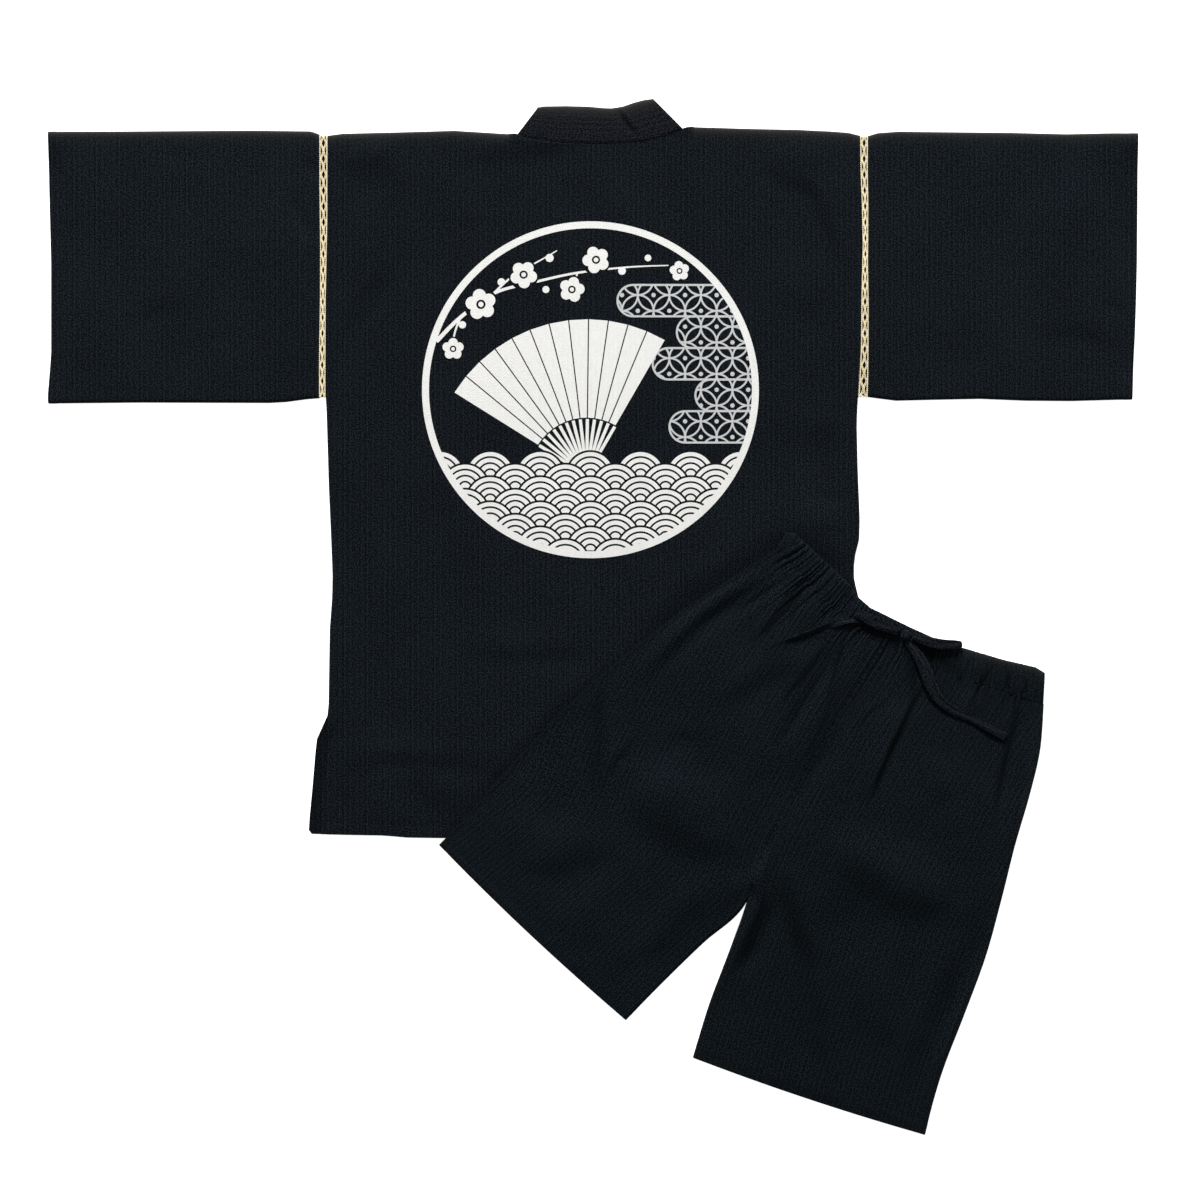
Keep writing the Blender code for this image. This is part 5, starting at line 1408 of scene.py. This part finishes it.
def laceTree():
    # threads that cross between two twisted rails, along the strip's middle line; X is always across it
    wire, given = newTree("ladder lace", (*laceSizes, "peak"), {})
    line = wire.node("GeometryNodeResampleCurve", {"mode": "LENGTH"},
                     {"Curve": given("Geometry"), "Length": given("Step")})
    run = wire.node("GeometryNodeSplineParameter", None, None, 1)
    outward = wire.node("ShaderNodeVectorMath", {"operation": "CROSS_PRODUCT"},
                        {0: (1.0, 0.0, 0.0), 1: wire.node("GeometryNodeInputTangent")})
    profile = wire.node("GeometryNodeCurvePrimitiveCircle", {"mode": "RADIUS"},
                        {"Resolution": 6, "Radius": given("Thread")})
    tubes = []

    def strand(across, lift):
        outwards = across * wire.node("GeometryNodeInputRadius")
        sideOffset = wire.node("ShaderNodeCombineXYZ", None, {0: outwards})
        raised = wire.node("ShaderNodeVectorMath", {"operation": "SCALE"}, {0: outward, "Scale": lift})
        both = wire.node("ShaderNodeVectorMath", {"operation": "ADD"}, {0: sideOffset, 1: raised})
        moved = wire.node("GeometryNodeSetPosition", None, {"Geometry": line, "Offset": both})
        tubes.append(wire.node("GeometryNodeCurveToMesh", None,
                               {"Curve": moved, "Profile Curve": profile, "Fill Caps": True}))

    phase = run / given("Pitch") * math.pi
    wave, crossing = phase.math("COSINE", phase), phase.math("SINE", phase)
    bulge = wave.math("SIGN", wave) * wave.math("ABSOLUTE", wave) ** given("Peak")
    reach = bulge * given("Swing") + wave.math("TANH", wave * 4.0) * given("Core")
    turn = run / given("Twist") * (2 * math.pi)
    for side in (1.0, -1.0):
        for ply in (1.0, -1.0):
            strand(reach * side + given("Ply") * ply, crossing * given("Thread") * (0.8 * side))
    for side in (1.0, -1.0):
        for start in (0.0, math.pi):
            angle = turn + start
            around = given("Thread") * 0.85
            strand(given("Rail") * side + angle.math("COSINE", angle) * around,
                   angle.math("SINE", angle) * around)
    joined = wire.tree.nodes.new("GeometryNodeJoinGeometry")
    for tube in tubes:
        wire.tree.links.new(tube.socket, joined.inputs[0])
    return endTree(wire, Wire(wire.tree, joined.outputs[0]), given)


def makeLace(name, sign, bodyTable, tree, material):
    # up the back from the armhole's foot, over the shoulder's fold and down the front
    radius, middle = (lace["backZ"] - lace["frontZ"]) / 2, (lace["backZ"] + lace["frontZ"]) / 2
    top = lace["foldTop"] - radius
    straight, bend = lace["points"]
    up = np.linspace(lace["endY"], top, straight)
    angle = np.linspace(math.pi / 2, -math.pi / 2, bend)[1:-1]
    y = np.concatenate([up, top + radius * np.cos(angle), up[::-1]])
    z = np.concatenate([0 * up + lace["backZ"], middle + radius * np.sin(angle), 0 * up + lace["frontZ"]])
    body = along(bodyTable, np.maximum(y, jacket["armhole"]))
    sleeve = along(sleeves["left" if sign < 0 else "right"]["inner"], y)
    guide = guideCurve("laceGuide", [np.stack([(body + sleeve) / 2, y, z], -1)])
    guide.data.splines[0].points.foreach_set("radius", np.abs(sleeve - body) / lace["room"])
    values = {size.capitalize(): lace[size] * mm for size in laceSizes}
    values.update({"Peak": lace["peak"], "Material": material})
    piece = bake(name, guide, tree, values)
    dress(piece, nodeFor(name) + "_back", nodeFor(name) + "_front", slot="lace")


laceMaterial = laceThread()
laceNodes = laceTree()
makeLace("laceLeft", -1, jacket["backLeft"], laceNodes, laceMaterial)
makeLace("laceRight", 1, jacket["backRight"], laceNodes, laceMaterial)
print("ladder lace made")


# ---- stitching

stitch = {"pitch": 2.7, "length": 1.9, "width": 0.42, "uneven": (0.82, 1.12), "seed": 5, "waistInset": 26.0}
stitchSizes = ("pitch", "length", "width")


def stitchTree():
    # short lengths of thread laid end to end along the guide lines
    wire, given = newTree("stitches", stitchSizes, {"Seed": "Int"})
    points = wire.node("GeometryNodeCurveToPoints", {"mode": "LENGTH"},
                       {"Curve": given("Geometry"), "Length": given("Pitch")})
    bead = wire.node("GeometryNodeMeshUVSphere", None, {"Segments": 5, "Rings": 4, "Radius": 0.5})
    size = wire.node("ShaderNodeCombineXYZ", None, {0: given("Width"), 1: given("Width"), 2: given("Length")})
    low, high = stitch["uneven"]
    uneven = wire.node("FunctionNodeRandomValue", {"data_type": "FLOAT"},
                       {2: low, 3: high, "Seed": given("Seed")}, 1)
    scaled = wire.node("ShaderNodeVectorMath", {"operation": "SCALE"}, {0: size, "Scale": uneven})
    placed = wire.node("GeometryNodeInstanceOnPoints", None,
                       {"Points": points, "Instance": bead, "Rotation": points.output("Rotation"),
                        "Scale": scaled})
    return endTree(wire, placed, given)


def insideLine(outside, inset, fromEnd=False):
    # the line on a surface at that distance from its first row, or from its last one
    rows = outside[::-1] if fromEnd else outside
    run = np.concatenate([np.zeros((1, rows.shape[1])),
                          np.cumsum(np.linalg.norm(np.diff(rows, axis=0), axis=2), axis=0)])
    return np.array([[np.interp(inset, run[:, c], rows[:, c, axis]) for axis in range(3)]
                     for c in range(rows.shape[1])])


def makeStitches(name, lines, tree):
    values = {size.capitalize(): stitch[size] * mm for size in stitchSizes}
    values.update({"Seed": stitch["seed"], "Material": threadBlack})
    return dress(bake(name, guideCurve(name, lines), tree, values))


def sewAll():
    steps = wallMaking["lipSteps"]
    lowRows = backSurface[:, :, 1].mean(axis=1) < jacket["ventTop"] - 8
    ventSide = np.swapaxes(backSurface[lowRows], 0, 1)
    lines = {"stitchesJacketHem": [insideLine(backSurface, jacket["hemWidth"])[6:-6],
                                   insideLine(ventSide, jacket["ventHem"]),
                                   insideLine(ventSide, jacket["ventHem"], fromEnd=True)]}
    hems = {
        "stitchesCuffLeft": (leftSleeveSurface, sleeves["cells"], sleeves["cuffHem"]),
        "stitchesCuffRight": (rightSleeveSurface, sleeves["cells"], sleeves["cuffHem"]),
        "stitchesLegLeft": (leftLegSurface, trousers["cells"], trousers["hemWidth"]),
        "stitchesLegRight": (rightLegSurface, trousers["cells"], trousers["hemWidth"]),
    }
    for name, (outside, cells, hem) in hems.items():
        upper = slice(steps, steps + cells[1] + 1)
        lines[name] = [insideLine(outside[:, upper], hem, fromEnd=True)]
    lines["stitchesWaist"] = [insideLine(waistSurface, stitch["waistInset"])]
    tree = stitchTree()
    return {name: makeStitches(name, paths, tree) for name, paths in lines.items()}


sewing = sewAll()
print("stitching made")


# ---- printed roundel: fan, plum, waves and mist in a ring

roundel = {
    "centre": (-3.3, 243.3), "radius": 181.5, "ring": 7.5, "rise": 0.28, "sunk": 0.05, "sharpAngle": 40,
    "fan": {"pivot": (-4, -92), "leaf": (62, 168), "angles": (60, 148), "pleats": 12, "gap": 1.3,
            "stick": 3.4},
    "wave": {"radius": 27.0, "top": -92.0, "rings": (6.5, 13.0, 19.5), "line": 2.0, "edge": 2.2, "rows": 9,
             "columns": (-5, 6)},
    "mist": {"half": 18.0, "line": 2.2, "bars": [(96, 28), (62, 92), (28, 66), (-6, 112), (-40, 84)]},
    "circle": {"radius": 17.0, "line": 2.0, "dot": 2.4, "columns": (-2, 14), "rows": (-10, 12)},
    # plums: place, size and turn; petals: how far out and how big, as shares of the plum's size
    "plums": [(-118, 92, 17, 10), (-72, 124, 15, 40), (-20, 108, 14, -14), (6, 140, 15, 22),
              (-148, 44, 12, 0), (96, 128, 11, 8)],
    "petal": (0.56, 0.42), "heart": (0.17, 0.30), "clear": 1.1,
    "buds": [(-96, 116, 4.2), (-48, 108, 3.8), (34, 128, 4.2), (-138, 70, 4.0), (-44, 142, 4.4),
             (62, 142, 3.6)],
    "twigs": [[(-166, 52, 4.6), (-140, 78, 4.0), (-104, 104, 3.4), (-60, 116, 2.8), (-14, 126, 2.4),
               (40, 132, 1.8), (84, 134, 1.2)],
              [(-104, 104, 2.6), (-84, 122, 2.0), (-46, 144, 1.4), (-36, 150, 1.0)],
              [(-140, 78, 2.4), (-146, 62, 2.0), (-150, 40, 1.4)],
              [(-14, 126, 2.0), (-18, 114, 1.6), (-26, 100, 1.2)]],
}
roundelHole = roundel["radius"] - roundel["ring"]
ink = {"bare": 0, "white": 1, "silver": 2}


def ringPoints(cx, cy, radius, step=2.4, start=0.0, end=2 * math.pi):
    count = max(int(radius * (end - start) / step), 10)
    angle = np.linspace(start, end, count + 1)
    return np.stack([cx + radius * np.cos(angle), cy + radius * np.sin(angle)], -1)


def inPolygon(polygon, x, y):
    inside = np.zeros(np.shape(x), bool)
    for (ax, ay), (bx, by) in zip(polygon, np.roll(polygon, -1, axis=0)):
        crosses = (ay > y) != (by > y)
        reach = ax + (y - ay) * (bx - ax) / np.where(by == ay, 1e-9, by - ay)
        inside ^= crosses & (x < reach)
    return inside


def fanPoint(angle, reach):
    x, y = roundel["fan"]["pivot"]
    return x + reach * math.cos(angle), y + reach * math.sin(angle)


def spoke(angle, start, end, width):
    # a thin strip that points out from the fan's pivot
    pivot = np.array(roundel["fan"]["pivot"], float)
    ahead = np.array([math.cos(angle), math.sin(angle)])
    side = np.array([-ahead[1], ahead[0]]) * width / 2
    return np.array([pivot + ahead * start - side, pivot + ahead * end - side, pivot + ahead * end + side,
                     pivot + ahead * start + side])


def twigOutline(twig):
    line = curve(twig, np.linspace(0, 1, 6 * (len(twig) - 1) + 1))
    side = sideways(line) * line[:, 2:3] / 2
    return np.concatenate([line[:, :2] + side, (line[:, :2] - side)[::-1]])


def petals(plum):
    x, y, size, turn = plum
    away, petal = roundel["petal"]
    angles = [math.radians(turn + 90 + 72 * k) for k in range(5)]
    return [(x + away * size * math.cos(a), y + away * size * math.sin(a), petal * size) for a in angles]


def waveCircles():
    # row number and centre of each wave, row below row
    wave = roundel["wave"]
    for row in range(wave["rows"]):
        for column in range(*wave["columns"]):
            x = (column + (0.5 if row % 2 else 0)) * 2 * wave["radius"]
            yield row, x, wave["top"] - row * wave["radius"] / 2


def mistCircles():
    # centres of the rings in the mist, on every other place of a square grid
    circle = roundel["circle"]
    for i in range(*circle["columns"]):
        for j in range(*circle["rows"]):
            if (i + j) % 2 == 0:
                yield i * circle["radius"], j * circle["radius"]


def roundelShapes():
    fan, mist = roundel["fan"], roundel["mist"]
    angles = np.radians(np.linspace(*fan["angles"], fan["pleats"] + 1))
    inner, outer = fan["leaf"]
    return {
        # the folded paper of the fan is straight between its pleats at the rim
        "leaf": np.array([fanPoint(a, outer) for a in angles] + [fanPoint(a, inner) for a in angles[::-1]]),
        "pleats": [spoke(a, inner - 2, outer + 2, fan["gap"]) for a in angles[1:-1]],
        "sticks": [spoke(a, 0, inner - 1.6, fan["stick"]) for a in angles],
        "twigs": [twigOutline(t) for t in roundel["twigs"]],
        "bars": [(y, x, mist["half"]) for y, x in mist["bars"]],
    }


def paintMist(colour, shapes, x, y):
    circle, line = roundel["circle"], roundel["mist"]["line"]
    inMist, onLine = np.zeros(np.shape(x), bool), np.zeros(np.shape(x), bool)
    for barY, barX, half in shapes["bars"]:
        away = np.hypot(np.minimum(x - barX - half, 0), y - barY)
        inMist |= away < half
        onLine |= (away < half) & (away > half - line)
    for cx, cy in mistCircles():
        off = np.hypot(x - cx, y - cy)
        onLine |= inMist & ((np.abs(off - circle["radius"]) < circle["line"] / 2) | (off < circle["dot"]))
    colour[onLine] = ink["silver"]


def paintPlums(colour, shapes, x, y):
    for outline in shapes["twigs"]:
        colour[inPolygon(outline, x, y)] = ink["white"]
    for px, py, size in roundel["buds"]:
        colour[np.hypot(x - px, y - py) < size] = ink["white"]
    dot, eye = roundel["heart"]
    for plum in roundel["plums"]:
        off = np.hypot(x - plum[0], y - plum[1])
        colour[off < plum[2] * roundel["clear"]] = ink["bare"]
        for px, py, size in petals(plum):
            colour[np.hypot(x - px, y - py) < size] = ink["white"]
        colour[off < plum[2] * eye] = ink["bare"]
        colour[off < plum[2] * dot] = ink["white"]


def paintFan(colour, shapes, x, y):
    for stick in shapes["sticks"]:
        colour[inPolygon(stick, x, y)] = ink["white"]
    leaf = inPolygon(shapes["leaf"], x, y)
    colour[leaf] = ink["white"]
    for pleat in shapes["pleats"]:
        colour[leaf & inPolygon(pleat, x, y)] = ink["bare"]


def paintWaves(colour, x, y):
    # the lowest row lies in front
    wave = roundel["wave"]
    taken = np.zeros(np.shape(x), bool)
    for _, cx, cy in sorted(waveCircles(), key=lambda c: -c[0]):
        off = np.hypot(x - cx, y - cy)
        mine = (off < wave["radius"]) & ~taken
        taken |= mine
        dark = off > wave["radius"] - wave["edge"]
        for ring in wave["rings"]:
            dark |= np.abs(off - ring) < wave["line"] / 2
        colour[mine] = ink["white"]
        colour[mine & dark] = ink["bare"]


def roundelColour(shapes, x, y):
    # which ink lies at each point
    colour = np.zeros(np.shape(x), int)
    for paint in (paintMist, paintPlums, paintFan):
        paint(colour, shapes, x, y)
    paintWaves(colour, x, y)
    radius = np.hypot(x, y)
    colour[radius > roundelHole] = ink["white"]
    colour[radius > roundel["radius"]] = ink["bare"]
    return colour


def roundelOutlines(shapes):
    # every line along which the print may begin or end
    mist, circle, wave = roundel["mist"], roundel["circle"], roundel["wave"]
    lines = [ringPoints(0, 0, size) for size in (roundel["radius"], roundelHole)]
    for barY, barX, half in shapes["bars"]:
        for size in (half, half - mist["line"]):
            cap = ringPoints(barX + half, barY, size, 2.2, math.pi / 2, 3 * math.pi / 2)
            ends = [[[roundelHole + 3, barY + side * size]] for side in (1, -1)]
            lines.append(np.concatenate([ends[0], cap, ends[1]]))
    for cx, cy in mistCircles():
        if cx > 10 and abs(cy - 28) < 110:
            lines += [ringPoints(cx, cy, circle["radius"] + s * circle["line"] / 2, 2.2) for s in (-1, 1)]
            lines.append(ringPoints(cx, cy, circle["dot"], 1.2))
    for outline in [*shapes["twigs"], *shapes["sticks"], *shapes["pleats"], shapes["leaf"]]:
        lines.append(np.concatenate([outline, outline[:1]]))
    lines += [ringPoints(px, py, size, 1.4) for px, py, size in roundel["buds"]]
    for plum in roundel["plums"]:
        lines += [ringPoints(px, py, size, 1.5) for px, py, size in petals(plum)]
        lines += [ringPoints(plum[0], plum[1], plum[2] * s, 1.3)
                  for s in (*roundel["heart"], roundel["clear"])]
    for _, cx, cy in waveCircles():
        if math.hypot(cx, cy) < roundel["radius"] + wave["radius"]:
            edges = [wave["radius"], wave["radius"] - wave["edge"]]
            edges += [ring + s * wave["line"] / 2 for ring in wave["rings"] for s in (-1, 1)]
            lines += [ringPoints(cx, cy, size, 2.2, -0.05, math.pi + 0.05) for size in edges]
    return lines


def raisedPrint(name, points, triangles, material):
    # a thin raised layer: its top, its underside just in the cloth, and walls round its outline
    used, flat = np.unique(triangles, return_inverse=True)
    flat = flat.reshape(-1, 3)
    x, y = points[used, 0] + roundel["centre"][0], points[used, 1] + roundel["centre"][1]
    ground = backHeight(x, y) + halfCloth
    top, foot = (np.stack([x, y, ground + lift], -1) for lift in (roundel["rise"], -roundel["sunk"]))
    count = len(used)
    edges = np.concatenate([flat[:, [0, 1]], flat[:, [1, 2]], flat[:, [2, 0]]])
    _, first, number = np.unique(np.sort(edges, axis=1), axis=0, return_index=True, return_counts=True)
    rim = edges[first[number == 1]]
    walls = np.concatenate([np.stack([rim[:, 1], rim[:, 0], rim[:, 0] + count], -1),
                            np.stack([rim[:, 1], rim[:, 0] + count, rim[:, 1] + count], -1)])
    faces = np.concatenate([flat, flat[:, ::-1] + count, walls])
    grain = np.stack([x, y], -1)
    piece = meshFrom(name, np.concatenate([top, foot]), faces, material, np.concatenate([grain, grain]))
    piece.data.set_sharp_from_angle(angle=math.radians(roundel["sharpAngle"]))
    return dress(piece, slot=None)


def makeRoundel():
    shapes = roundelShapes()
    points, edges = [], []
    for line in roundelOutlines(shapes):
        near = np.hypot(line[:, 0], line[:, 1]) < roundel["radius"] + 12
        start = len(points)
        points += [Vector(p) for p in line]
        edges += [(start + i, start + i + 1) for i in range(len(line) - 1) if near[i] or near[i + 1]]
    solved, _, faces, *_ = delaunay_2d_cdt(points, edges, [], 0, 1e-3)
    flat = np.array([tuple(p) for p in solved])
    triangles = np.array([list(f) for f in faces])
    middle = flat[triangles].mean(axis=1)
    colour = roundelColour(shapes, middle[:, 0], middle[:, 1])
    pieces = []
    for name, tint in (("roundelWhite", "white"), ("roundelSilver", "silver")):
        material = printInk(tint + " print", printLook[tint])
        pieces.append(raisedPrint(name, flat, triangles[colour == ink[tint]], material))
    return pieces


printPieces = makeRoundel()
print("roundel made")
